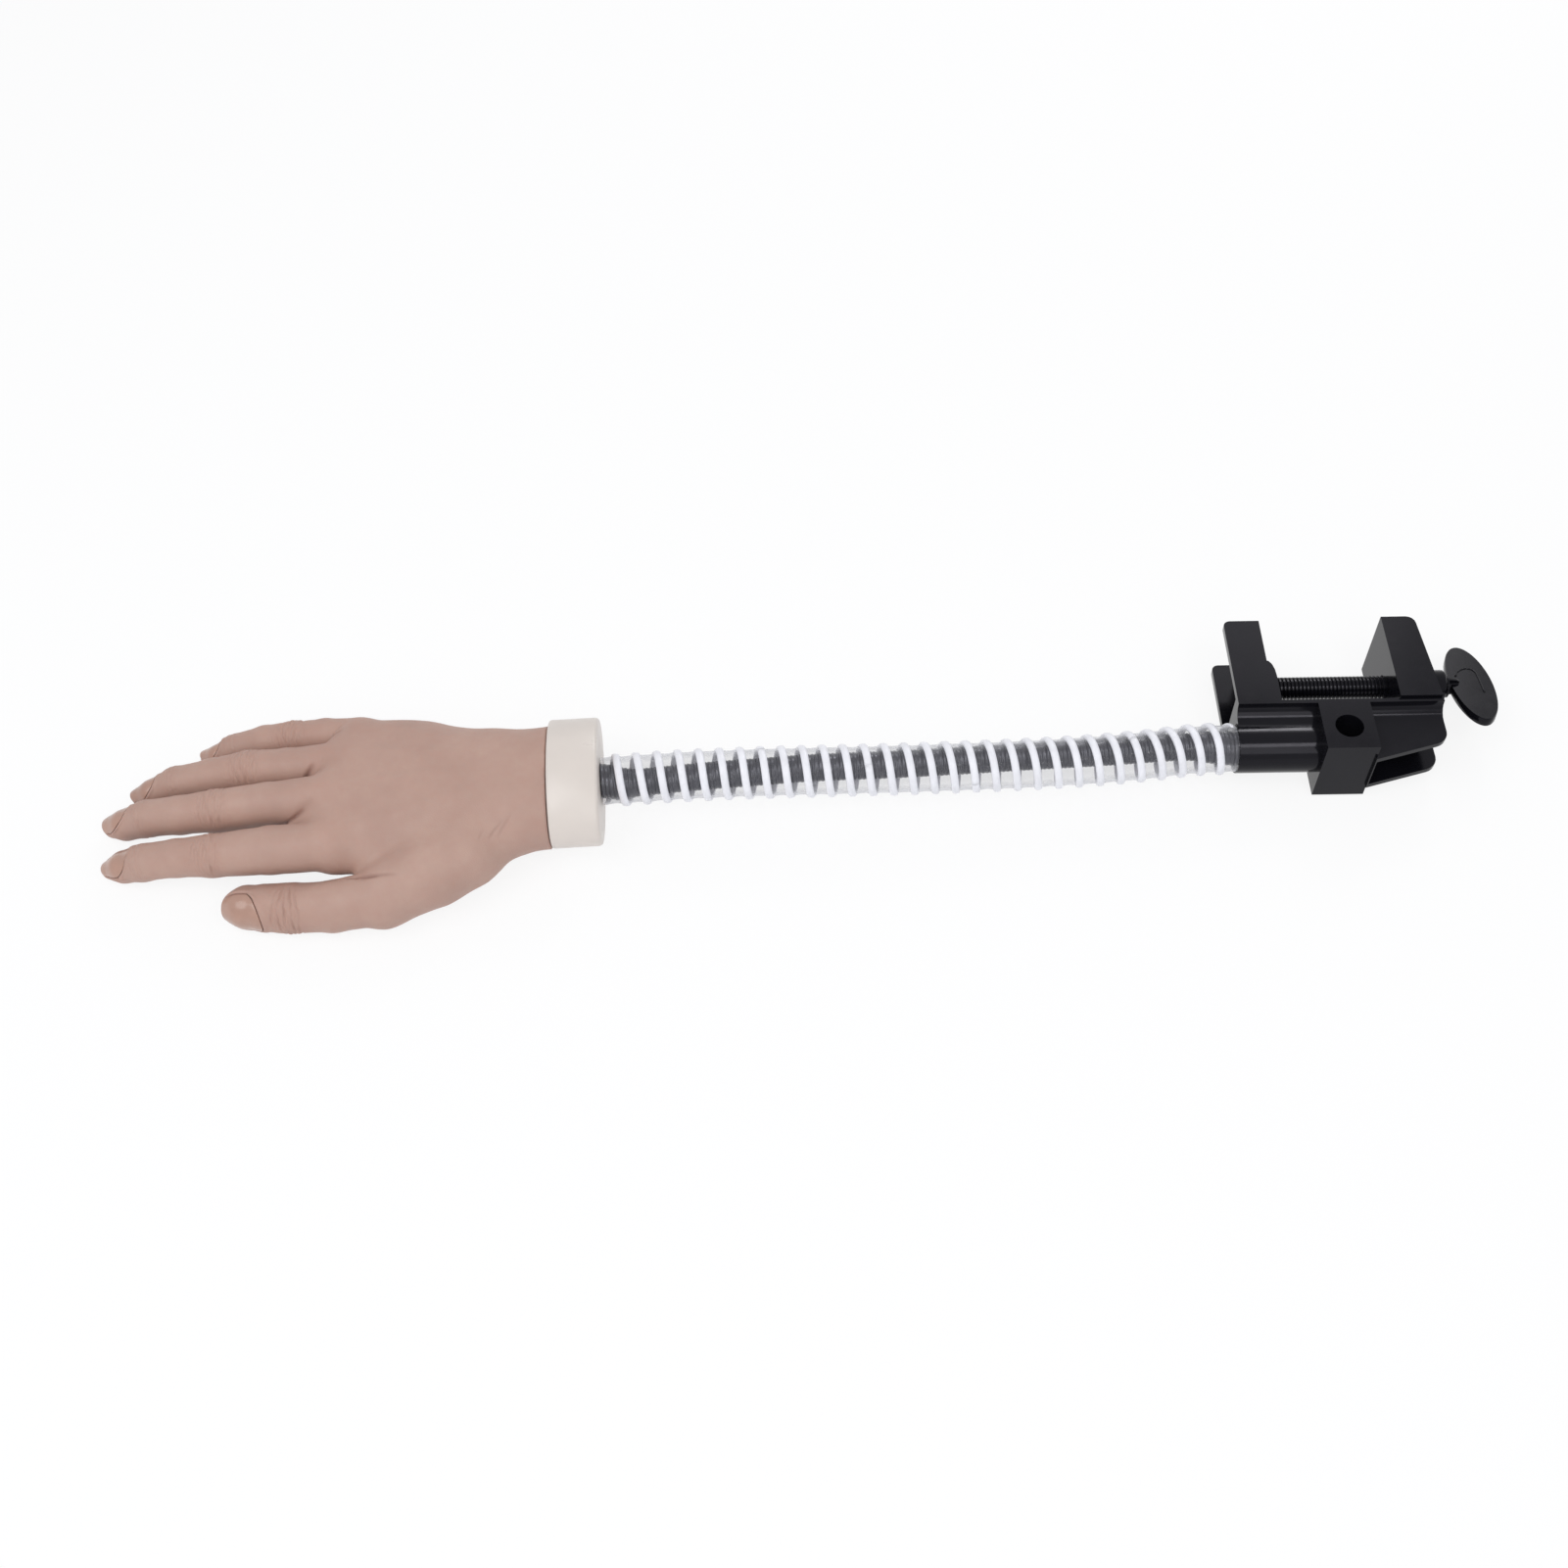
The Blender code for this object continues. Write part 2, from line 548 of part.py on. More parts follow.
def make_clamp_screw():
    """Journal that turns in the fixed jaw, thread, plain shank and the pin of the plate."""
    clip_end = -JAW_WALL - GAP
    clip_start = clip_end - CLIP_THICKNESS
    tip = clip_start - GAP - JOURNAL_END
    thread_start = PAD_DEPTH + GAP
    shank_end = JAW_GAP + MOVING_BOSS_END - tip
    shank_start = shank_end - SHANK_LENGTH
    thread_length = shank_start + tip - thread_start
    screw = add_object("clamp_screw", thread_mesh("clamp_screw", thread_length), black_plastic("screw"),
                       frame_at((thread_start + THREAD_PITCH / 4, SCREW_AXIS, 0), (1, 0, 0)))
    shank, journal, pin = SHANK_DIAMETER / 2, JOURNAL_DIAMETER / 2, DRIVE_PIN_DIAMETER / 2
    groove = journal - CLIP_GROOVE_DEPTH
    groove_start = clip_start - GAP - tip
    groove_end = clip_end + GAP - tip
    pin_end = shank_end + DRIVE_PIN_LENGTH
    overlap = shank_start - THREAD_PITCH
    outline = [(pin_end, 0.0), (pin_end, pin), (shank_end, pin), (shank_end, shank), (overlap, shank),
               (overlap, journal), (groove_end, journal), (groove_end, groove), (groove_start, groove),
               (groove_start, journal), (0.0, journal), (0.0, 0.0)]
    place = frame_at((tip, SCREW_AXIS, 0), (1, 0, 0))
    carve(screw, turned("screw_shank", outline, place, STEPS_SMALL), "UNION")
    shade_round(screw)
    ring("screw_clip", (clip_start, SCREW_AXIS, 0), (clip_end, SCREW_AXIS, 0),
         CLIP_DIAMETER, 2 * (groove + GAP), STEPS_ROUND, steel("clip"))


def make_thumb_plate():
    """Oval plate that turns the screw, with its collar and neck."""
    neck_start = JAW_GAP + MOVING_BOSS_END + GAP
    plate_start = neck_start + PLATE_COLLAR_LENGTH + PLATE_NECK_LENGTH
    centre = plate_start + PLATE_BREADTH / 2
    place = Matrix.Translation((centre, SCREW_AXIS, 0)) @ Matrix.Rotation(-PLATE_TURN, 4, "X")
    oval = []
    for i in range(STEPS_LARGE):
        turn = math.tau * i / STEPS_LARGE
        oval.append((PLATE_BREADTH / 2 * math.cos(turn), PLATE_LENGTH / 2 * math.sin(turn)))
    plate = extruded("thumb_plate", oval, -PLATE_THICKNESS / 2, PLATE_THICKNESS / 2, place,
                     black_plastic("plate"))
    round_edges(plate)
    length = plate_start - neck_start + PLATE_STEM_REACH
    collar, neck = PLATE_COLLAR_DIAMETER / 2, PLATE_NECK_DIAMETER / 2
    outline = [(length, 0.0), (length, neck), (PLATE_COLLAR_LENGTH, neck),
               (PLATE_COLLAR_LENGTH, collar), (0.0, collar), (0.0, 0.0)]
    stem = turned("plate_stem", outline, frame_at((neck_start, SCREW_AXIS, 0), (1, 0, 0)), STEPS_FINGER)
    carve(plate, stem, "UNION")
    carve(plate, rod("plate_socket", (neck_start - OVERRUN, SCREW_AXIS, 0),
                     (neck_start + DRIVE_PIN_LENGTH, SCREW_AXIS, 0), DRIVE_PIN_DIAMETER + 2 * GAP,
                     STEPS_FINGER))
    shade_round(plate)


def hose_start():
    return Vector((-FIXED_JAW_DEPTH - SOCKET_PROUD, SOCKET_AXIS, 0))


def route_points():
    """The route's own points, from the clamp to the wrist."""
    start = hose_start()
    return [start + Vector((-along * HOSE_SPAN, -drop * HOSE_DROP, along * HOSE_LIFT))
            for along, drop in ROUTE_SHARES]


def smooth_route(count):
    """Evenly spaced points on a smooth curve through the route's points."""
    knots = route_points()
    knots = [2 * knots[0] - knots[1]] + knots + [2 * knots[-1] - knots[-2]]
    fine = []
    parts = 12
    for a, b, c, d in zip(knots, knots[1:], knots[2:], knots[3:]):
        for i in range(parts):
            t = i / parts
            fine.append(0.5 * (2 * b + (c - a) * t + (2 * a - 5 * b + 4 * c - d) * t ** 2
                               + (3 * b - a - 3 * c + d) * t ** 3))
    fine.append(knots[-2])
    runs = [0.0]
    for near, far in zip(fine, fine[1:]):
        runs.append(runs[-1] + (far - near).length)
    points = []
    at = 0
    for i in range(count):
        wanted = runs[-1] * i / (count - 1)
        while at < len(fine) - 2 and runs[at + 1] < wanted:
            at += 1
        share = (wanted - runs[at]) / (runs[at + 1] - runs[at])
        points.append(fine[at].lerp(fine[at + 1], share))
    return points


def route_frames(count):
    """Points along the hose with two directions square to it that don't twist."""
    points = smooth_route(count)
    side = Vector((0, 1, 0))
    frames = []
    for i, point in enumerate(points):
        ahead = points[min(i + 1, count - 1)] - points[max(i - 1, 0)]
        ahead.normalize()
        side = (side - side.dot(ahead) * ahead).normalized()
        frames.append((point, ahead, side, ahead.cross(side)))
    return frames


def hose_hinges():
    """Bending points of the core: one in the middle of each equal stretch of hose."""
    points = smooth_route(2 * NECK_LINKS + 1)
    return [points[2 * i + 1] for i in range(NECK_LINKS)]


def collar_place():
    """Placement of the collar's face at the hose: local Z runs towards the fingers."""
    ahead = Vector((-math.cos(WRIST_YAW), -math.sin(WRIST_YAW), 0))
    return frame_at(route_points()[-1], ahead)


def hand_place():
    """Placement of the wrist face: X along the fingers, Y to the thumb side, Z up."""
    ahead = Vector((-math.cos(WRIST_YAW), -math.sin(WRIST_YAW), 0))
    thumb_side = Vector((0, 0, 1)).cross(ahead)
    turn = Matrix((ahead, thumb_side, Vector((0, 0, 1)))).transposed().to_4x4()
    return Matrix.Translation(collar_place().to_translation() + COLLAR_LENGTH * ahead) @ turn


def link_outline(length, ball, cup):
    """Outline of one core link: a ball at its start, a cup at its far end."""
    core, neck = CORE_RADIUS, CORE_NECK / 2
    top = []
    if cup:
        reach = CORE_CUP / 2
        mouth = math.asin(CORE_LIP / reach)
        hollow = arc((0.0, length), reach, -math.pi / 2, mouth, 4)
        top = [(height, radius) for radius, height in hollow]
        top[0] = (top[0][0], 0.0)
        top.append((length + CORE_LIP, core))
    else:
        top = [(length, 0.0), (length, core)]
    if not ball:
        return top + [(0.0, core), (0.0, 0.0)]
    bulge = CORE_BALL / 2
    start = math.asin(math.sqrt(bulge ** 2 - neck ** 2) / bulge)
    knob = [(height, radius) for radius, height in arc((0.0, 0.0), bulge, start, -math.pi / 2, 4)]
    knob[-1] = (knob[-1][0], 0.0)
    return top + [(CORE_SHOULDER, core), (CORE_SHOULDER - GAP, neck)] + knob


def make_neck_core():
    """The stub in the clamp's socket and the links that carry the hand."""
    hinges = hose_hinges()
    socket_end = Vector((BLOCK_START - SOCKET_FLOOR - GAP, SOCKET_AXIS, 0))
    straight = hinges[0] - socket_end
    turned("neck_stub", link_outline(straight.length, False, True), frame_at(socket_end, straight),
           STEPS_LINK, steel("stub"))
    ring("clamp_ferrule", hose_start(), socket_end, SOCKET_BORE - 2 * GAP, FERRULE_BORE,
         STEPS_ROUND, steel("ferrule"))
    for i, hinge in enumerate(hinges[:-1]):
        ahead = hinges[i + 1] - hinge
        turned("neck_link_%02d" % (i + 1), link_outline(ahead.length, True, True),
               frame_at(hinge, ahead), STEPS_LINK, steel("link"))
    place = collar_place()
    end = place @ Vector((0, 0, FERRULE_END))
    ahead = end - hinges[-1]
    turned("neck_link_%02d" % NECK_LINKS, link_outline(ahead.length, True, False),
           frame_at(hinges[-1], ahead), STEPS_LINK, steel("link"))


def make_hose():
    """Clear hose with its bore, and the white rib wound round it."""
    count = 15
    start_room = 2 * GAP
    frames = route_frames(count)
    skins = []
    for radius, sides in ((HOSE_OUTER / 2, 16), (HOSE_OUTER / 2 - HOSE_WALL, 12)):
        rings = []
        for i, (point, ahead, side, up) in enumerate(frames):
            end_shift = ahead * (start_room if i == 0 else -start_room if i == count - 1 else 0.0)
            if radius < HOSE_OUTER / 2 and i in (0, count - 1):
                end_shift = end_shift - ahead * (OVERRUN if i == 0 else -OVERRUN)
            rings.append([point + end_shift + radius * (math.cos(math.tau * k / sides) * side
                                                        + math.sin(math.tau * k / sides) * up)
                          for k in range(sides)])
        skins.append(rings)
    clear = material("hose", (0.85, 0.88, 0.9), 0.12, alpha=0.35)
    hose = loft("hose_sleeve", skins[0], clear)
    carve(hose, loft("hose_bore", skins[1]))
    shade_round(hose)
    make_rib()


def make_rib():
    """One unbroken strand wound round the hose, its ends turned in to run along it."""
    per_turn = RIB_POINTS_PER_TURN
    steps = int(RIB_TURNS * per_turn)
    reach = (HOSE_OUTER / 2 + GAP + RIB_STRAND / 2) / math.cos(math.pi / per_turn)
    end_room = 2 * GAP
    lead = 1.5 * RIB_STRAND
    fine = 8
    frames = route_frames(steps * fine + 1)
    total = sum((b[0] - a[0]).length for a, b in zip(frames, frames[1:]))
    points = []
    for i in range(-1, steps + 2):
        share = min(max(i, 0), steps) / steps
        run = end_room + lead + share * (total - 2 * (end_room + lead))
        if i < 0:
            run = end_room
        if i > steps:
            run = total - end_room
        point, ahead, side, up = frames[min(int(round(run / total * steps * fine)), steps * fine)]
        turn = math.tau * (RIB_START_TURN + share * steps / per_turn)
        points.append(point + reach * (math.cos(turn) * side + math.sin(turn) * up))
    middle = points[1:-1]
    least = HOSE_SPAN
    for i, point in enumerate(middle):
        for other in middle[i + per_turn - 2:i + per_turn + 3]:
            least = min(least, (other - point).length)
    print("least gap between turns of the rib: %.2f mm" % ((least - RIB_STRAND) / MM))
    tube("hose_rib", points, RIB_STRAND, 1, material("rib", (0.82, 0.82, 0.84), 0.35))


def tube(name, points, diameter, resolution, finish):
    """A solid strand along points, made a mesh with its end caps welded."""
    curve = bpy.data.curves.new(name, "CURVE")
    curve.dimensions = "3D"
    curve.bevel_depth = diameter / 2
    curve.bevel_resolution = resolution
    curve.use_fill_caps = True
    line = curve.splines.new("POLY")
    line.points.add(len(points) - 1)
    for corner, point in zip(line.points, points):
        corner.co = (*point, 1.0)
    guide = bpy.data.objects.new(name, curve)
    CUTTERS.objects.link(guide)
    solid = bpy.data.meshes.new_from_object(guide.evaluated_get(bpy.context.evaluated_depsgraph_get()))
    bpy.data.objects.remove(guide, do_unlink=True)
    shape = bmesh.new()
    shape.from_mesh(solid)
    bmesh.ops.remove_doubles(shape, verts=shape.verts, dist=MERGE)
    bmesh.ops.recalc_face_normals(shape, faces=shape.faces)
    shape.to_mesh(solid)
    shape.free()
    solid.name = name
    piece = add_object(name, solid, finish)
    piece.data.shade_smooth()
    return piece


def oval_ring(place, half_breadth, half_height, height, sides):
    """Points of an oval round a placement's Z axis, its height along local X."""
    return [place @ Vector((half_height * math.sin(math.tau * k / sides),
                            half_breadth * math.cos(math.tau * k / sides), height)) for k in range(sides)]


def make_collar():
    """Oval wrist collar with the spigot that the silicone hand is pushed over."""
    place = collar_place()
    breadth, height = COLLAR_HALF_BREADTH, COLLAR_HALF_HEIGHT
    low, high = GAP, COLLAR_LENGTH
    spigot = SPIGOT_STEP
    stations = [(low, COLLAR_ROUND), (low + COLLAR_ROUND, 0.0), (high - COLLAR_ROUND / 2, 0.0),
                (high, COLLAR_ROUND / 2), (high, spigot), (high + SPIGOT_LENGTH - COLLAR_ROUND, spigot),
                (high + SPIGOT_LENGTH, spigot + COLLAR_ROUND)]
    rings = [oval_ring(place, breadth - inset, height - inset, along, STEPS_OVAL)
             for along, inset in stations]
    collar = loft("wrist_collar", rings, material("collar", (0.86, 0.81, 0.70), 0.32))
    carve(collar, rod("collar_bore", place @ Vector((0, 0, -OVERRUN)),
                      place @ Vector((0, 0, COLLAR_LENGTH + SPIGOT_LENGTH + OVERRUN)), COLLAR_BORE))
    shade_round(collar)


def make_wrist_fixing():
    """End fitting of the neck, and the washer and nut that keep the collar on it."""
    place = collar_place()
    washer_start = COLLAR_LENGTH + SPIGOT_LENGTH + GAP
    nut_start = washer_start + WASHER_THICKNESS + GAP
    ring("wrist_ferrule", place @ Vector((0, 0, GAP)), place @ Vector((0, 0, FERRULE_END)),
         WRIST_FERRULE_OUTER, FERRULE_BORE, STEPS_ROUND, steel("wrist_ferrule"))
    ring("wrist_washer", place @ Vector((0, 0, washer_start)),
         place @ Vector((0, 0, washer_start + WASHER_THICKNESS)), WASHER_DIAMETER, COLLAR_BORE,
         STEPS_ROUND, steel("washer"))
    across_corners = NUT_ACROSS / math.cos(math.pi / 6)
    nut_end = nut_start + NUT_THICKNESS
    nut = rod("wrist_nut", place @ Vector((0, 0, nut_start)), place @ Vector((0, 0, nut_end)),
              across_corners, 6, steel("nut"))
    carve(nut, rod("nut_bore", place @ Vector((0, 0, nut_start - OVERRUN)),
                   place @ Vector((0, 0, nut_end + OVERRUN)), COLLAR_BORE))


def hand_point(shares):
    """A place in the hand, from its shares of the hand's length."""
    return hand_place() @ (HAND_LENGTH * Vector(shares))


def hand_loft(name, sections, sides, finish=None):
    """A soft body through oval sections that stand square to the hand's length."""
    place = hand_place()
    rings = []
    for along, sideways, up, breadth, thickness, bow in sections:
        row = []
        for k in range(sides):
            turn = math.tau * k / sides
            across = sideways + breadth * math.cos(turn)
            back = bow * (across - KNUCKLE_CREST_SHARE) ** 2
            over = up + thickness * math.sin(turn)
            row.append(place @ (HAND_LENGTH * Vector((along - back, across, over))))
        rings.append(row)
    return loft(name, rings, finish)


def finger_places(name):
    """Four places and radii of a finger, in metres."""
    places, radii = FINGER_SHARES[name][:2]
    return [hand_point(p) for p in places], [HAND_LENGTH * r for r in radii]


def bend_radius(radius):
    """Radius of the ball at a finger's bending point, inside a skin of the given radius."""
    return radius - FINGER_SKIN


def make_palm():
    """Palm with the ball of the thumb and a short root for each finger."""
    palm = hand_loft("palm", PALM_SHARES, PALM_SIDES, silicone("palm"))
    carve(palm, hand_loft("thenar", THENAR_SHARES, STEPS_FINGER), "UNION")
    for name in FINGER_SHARES:
        places, radii = finger_places(name)
        root, bend = places[:2]
        length = (bend - root).length
        start = radii[0]
        outline = cup_outline(length, radii[1])
        outline += [(length / 2, (radii[1] + start) / 2), (0.0, start * 0.97),
                    (-start * 0.6, start * 0.75), (-start * 0.9, 0.0)]
        carve(palm, turned(name + "_root", outline, frame_at(root, bend - root), STEPS_FINGER), "UNION")
    place = collar_place()
    spigot_end = COLLAR_LENGTH + SPIGOT_LENGTH + GAP
    half_breadth = COLLAR_HALF_BREADTH - SPIGOT_STEP + GAP
    half_height = COLLAR_HALF_HEIGHT - SPIGOT_STEP + GAP
    recess = [oval_ring(place, half_breadth, half_height, along, STEPS_OVAL)
              for along in (COLLAR_LENGTH - OVERRUN, spigot_end)]
    carve(palm, loft("spigot_recess", recess))
    carve(palm, rod("nut_recess", place @ Vector((0, 0, COLLAR_LENGTH)),
                    place @ Vector((0, 0, FERRULE_END + GAP)), NUT_ROOM))
    low, high = core_plate_corners(GAP)
    carve(palm, placed_box("plate_pocket", low, high))
    for name in FINGER_SHARES:
        places = finger_places(name)[0]
        start = wire_start(places)
        carve(palm, rod(name + "_palm_bore", start, places[1], WIRE_BORE, STEPS_BORE))
    shade_round(palm, math.radians(60.0))


def cup_radius(radius):
    """Radius of the hollow that a finger's ball turns in, wide enough for its facets."""
    facet_share = math.cos(math.pi / STEPS_FINGER) * math.cos(math.pi / STEPS_HOLLOW)
    return (bend_radius(radius) + GAP) / facet_share + GAP / 2


def cup_outline(length, radius):
    """The hollow end of a piece, round a bending point at a height, out to its rim."""
    hollow = cup_radius(radius)
    mouth = math.asin(FINGER_CUP_SET_BACK / hollow)
    outline = [(length + height, across) for across, height in
               arc((0.0, 0.0), hollow, -math.pi / 2, -mouth, 3)]
    outline[0] = (length - hollow, 0.0)
    return outline + [(length - FINGER_CUP_SET_BACK, radius)]


def knob_outline(radius, start):
    """The ball end of a piece, from its neck to its pole, round local zero."""
    outline = [(height, across) for across, height in arc((0.0, 0.0), radius, start, -math.pi / 2, 4)]
    outline[-1] = (-radius, 0.0)
    return outline


def core_plate_corners(room):
    """Corners of the palm's core plate in the hand's own axes, grown by some room."""
    (x0, y0, z0), (x1, y1, z1) = CORE_PLATE_SHARES
    half = CORE_PLATE_THICKNESS / 2 + room
    low = Vector((x0 * HAND_LENGTH - room, y0 * HAND_LENGTH - room, z0 * HAND_LENGTH - half))
    high = Vector((x1 * HAND_LENGTH + room, y1 * HAND_LENGTH + room, z1 * HAND_LENGTH + half))
    return low, high


def placed_box(name, low, high, finish=None):
    """A box in the hand's own axes."""
    made = box(name, low, high, finish)
    made.data.transform(hand_place())
    return made


def wire_start(places):
    """Where a finger's wire starts in the core plate: at its front, or the thumb's at its side."""
    near = hand_place().inverted() @ places[0]
    low, high = core_plate_corners(0.0)
    across = min(max(near.y, low.y + WIRE_SEAT), high.y - WIRE_SEAT)
    along = high.x - WIRE_SEAT
    if near.y > high.y + WIRE_SEAT:
        along = (low.x + high.x) / 2
    return hand_place() @ Vector((along, across, 0.0))


def make_armature():
    """Core plate in the palm and one bendable wire for each finger."""
    low, high = core_plate_corners(0.0)
    plate = placed_box("palm_core", low, high, material("core", (0.75, 0.75, 0.72), 0.5))
    for name in FINGER_SHARES:
        places = finger_places(name)[0]
        bend, middle, tip = places[1:]
        start = wire_start(places)
        seat = (start - bend).normalized() * GAP
        carve(plate, rod(name + "_seat", start + seat, bend, WIRE_BORE, STEPS_BORE))
        end = middle.lerp(tip, WIRE_END_SHARE)
        line = [start, start.lerp(bend, 0.5), bend, bend.lerp(middle, 0.5), middle,
                middle.lerp(end, 0.5), end]
        tube(name + "_wire", line, WIRE_DIAMETER, 1, steel("wire"))


def finger_base_outline(length, radii):
    """Outline of the inner finger piece: a ball at the knuckle, a cup at the middle joint."""
    waist = (radii[1] + radii[2]) / 2 * 0.985
    outline = cup_outline(length, radii[2]) + [(length * 0.62, waist), (radii[1] * 0.52, radii[1])]
    return outline + knob_outline(bend_radius(radii[1]), math.asin(0.42))


def finger_tip_outline(length, radii):
    """Outline of the outer finger piece: a ball at the middle joint and a rounded tip."""
    end = radii[3]
    body = [(share * length, radii[2] + (end - radii[2]) * gone)
            for share, gone in TIP_TAPER_SHARES]
    dome = [(length - end * 0.35, end * 0.86), (length, end * 0.55), (length + end * 0.22, 0.0)]
    outline = list(reversed(dome)) + list(reversed(body)) + [(radii[2] * 0.62, radii[2])]
    return outline + knob_outline(bend_radius(radii[2]), math.asin(0.5))


def nail_patch(name, place, length, radii, back, half, lift, grow, finish=None):
    """A curved nail plate over the back of a fingertip, as a shell."""
    across, along = 4, 2
    reach = radii[3] + lift
    spread = (half + grow) / reach
    shape = bmesh.new()
    rows = []
    for j in range(along + 1):
        height = length - back - grow + (back + 2 * grow) * j / along
        row = []
        for i in range(across + 1):
            turn = spread * (2 * i / across - 1)
            row.append(shape.verts.new((reach * math.cos(turn), reach * math.sin(turn), height)))
        rows.append(row)
    for near, far in zip(rows, rows[1:]):
        for i in range(across):
            shape.faces.new((near[i], near[i + 1], far[i + 1], far[i]))
    mesh = bpy.data.meshes.new(name)
    shape.to_mesh(mesh)
    shape.free()
    nail = add_object(name, mesh, finish, place)
    shell = nail.modifiers.new("shell", "SOLIDIFY")
    shell.offset = 1.0
    shell.use_even_offset = True
    return nail, shell


def wire_bore(name, piece, line):
    """Cut room for a wire along a line of points, run a little past each corner."""
    for i, (near, far) in enumerate(zip(line, line[1:])):
        past = (far - near).normalized() * WIRE_DIAMETER / 2
        carve(piece, rod("%s_%d" % (name, i), near - past, far + past, WIRE_BORE, STEPS_BORE))


def make_finger(name):
    """The two bending pieces of a finger, and its nail."""
    places, radii = finger_places(name)
    bend, middle, tip = places[1:]
    base_length = (middle - bend).length
    base = turned(name + "_base", finger_base_outline(base_length, radii), frame_at(bend, middle - bend),
                  STEPS_FINGER, silicone(name))
    start = wire_start(places)
    wire_bore(name + "_base_bore", base, [start, bend, middle])
    shade_round(base)
    length = (tip - middle).length
    place = frame_at(middle, tip - middle)
    outer = turned(name + "_tip", finger_tip_outline(length, radii), place, STEPS_FINGER, silicone(name))
    wire_bore(name + "_tip_bore", outer, [bend, middle, middle.lerp(tip, WIRE_END_SHARE)])
    back, half = [HAND_LENGTH * share for share in FINGER_SHARES[name][2:]]
    lift = -NAIL_THICKNESS
    gloss = material(name + "_nail", (0.55, 0.36, 0.28), 0.15)
    nail, shell = nail_patch(name + "_nail", place, length, radii, back, half, lift, 0.0, gloss)
    shell.thickness = NAIL_THICKNESS
    cutter, room = nail_patch(name + "_nail_bed", place, length, radii, back, half, lift - GAP, GAP)
    room.thickness = NAIL_RECESS
    carve(outer, cutter)
    shade_round(outer)


def main():
    clear_scene()
    make_clamp_body()
    make_moving_jaw()
    make_clamp_screw()
    make_thumb_plate()
    make_neck_core()
    make_hose()
    make_collar()
    make_wrist_fixing()
    make_palm()
    make_armature()
    for name in FINGER_SHARES:
        make_finger(name)


main()
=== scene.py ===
"""Looks of the nail practice hand: silicone skin, nails, clear ribbed hose and black clamp.

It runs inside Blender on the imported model, in metres and in the model's own frame. The hand
is sculpted in its own axes in millimetres: along the fingers, towards the thumb, and up,
from the middle of the wrist face.
"""
import json
import math

import bmesh
import bpy
import numpy as np
from mathutils import Matrix, Vector


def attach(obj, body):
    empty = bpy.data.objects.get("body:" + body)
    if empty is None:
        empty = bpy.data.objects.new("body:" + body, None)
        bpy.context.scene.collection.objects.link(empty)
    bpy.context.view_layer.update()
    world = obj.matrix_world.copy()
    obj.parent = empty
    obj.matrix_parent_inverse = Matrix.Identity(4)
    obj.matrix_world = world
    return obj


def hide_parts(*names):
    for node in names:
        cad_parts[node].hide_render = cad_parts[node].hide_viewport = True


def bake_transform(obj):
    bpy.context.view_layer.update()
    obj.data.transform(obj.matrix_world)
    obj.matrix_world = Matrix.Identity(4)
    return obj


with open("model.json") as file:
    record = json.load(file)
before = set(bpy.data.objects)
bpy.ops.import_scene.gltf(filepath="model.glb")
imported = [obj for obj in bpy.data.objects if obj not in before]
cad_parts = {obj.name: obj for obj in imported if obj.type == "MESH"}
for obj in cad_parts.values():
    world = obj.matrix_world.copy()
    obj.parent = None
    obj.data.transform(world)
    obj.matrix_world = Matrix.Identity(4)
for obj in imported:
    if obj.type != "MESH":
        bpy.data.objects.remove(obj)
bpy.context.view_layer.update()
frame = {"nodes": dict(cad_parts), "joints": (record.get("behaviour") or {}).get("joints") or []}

MM = 0.001

# Hose and wrist, as in the model.
HOSE_START = Vector((-0.0170, -0.0527, 0.0))
HOSE_SPAN = 0.285
HOSE_DROP = 0.015
HOSE_LIFT = 0.003
COLLAR_LENGTH = 0.0227
WRIST_YAW = math.radians(3.0)
ROUTE_SHARES = (
    (0.0, 0.0), (0.035, 0.01), (0.08, 0.08), (0.143, 0.24), (0.222, 0.39), (0.30, 0.49),
    (0.376, 0.56), (0.453, 0.61), (0.53, 0.66), (0.607, 0.69), (0.683, 0.715),
    (0.76, 0.75), (0.837, 0.80), (0.91, 0.88), (0.96, 0.955), (1.0, 1.0),
)
NECK_LINKS = 12

# Hand axes as rows: along the fingers, towards the thumb, up.
AHEAD = Vector((-math.cos(WRIST_YAW), -math.sin(WRIST_YAW), 0.0))
THUMB_SIDE = Vector((0.0, 0.0, 1.0)).cross(AHEAD)
HAND_AXES = np.array([AHEAD, THUMB_SIDE, (0.0, 0.0, 1.0)])
WRIST_FACE = HOSE_START + Vector((-HOSE_SPAN, -HOSE_DROP, HOSE_LIFT)) + COLLAR_LENGTH * AHEAD

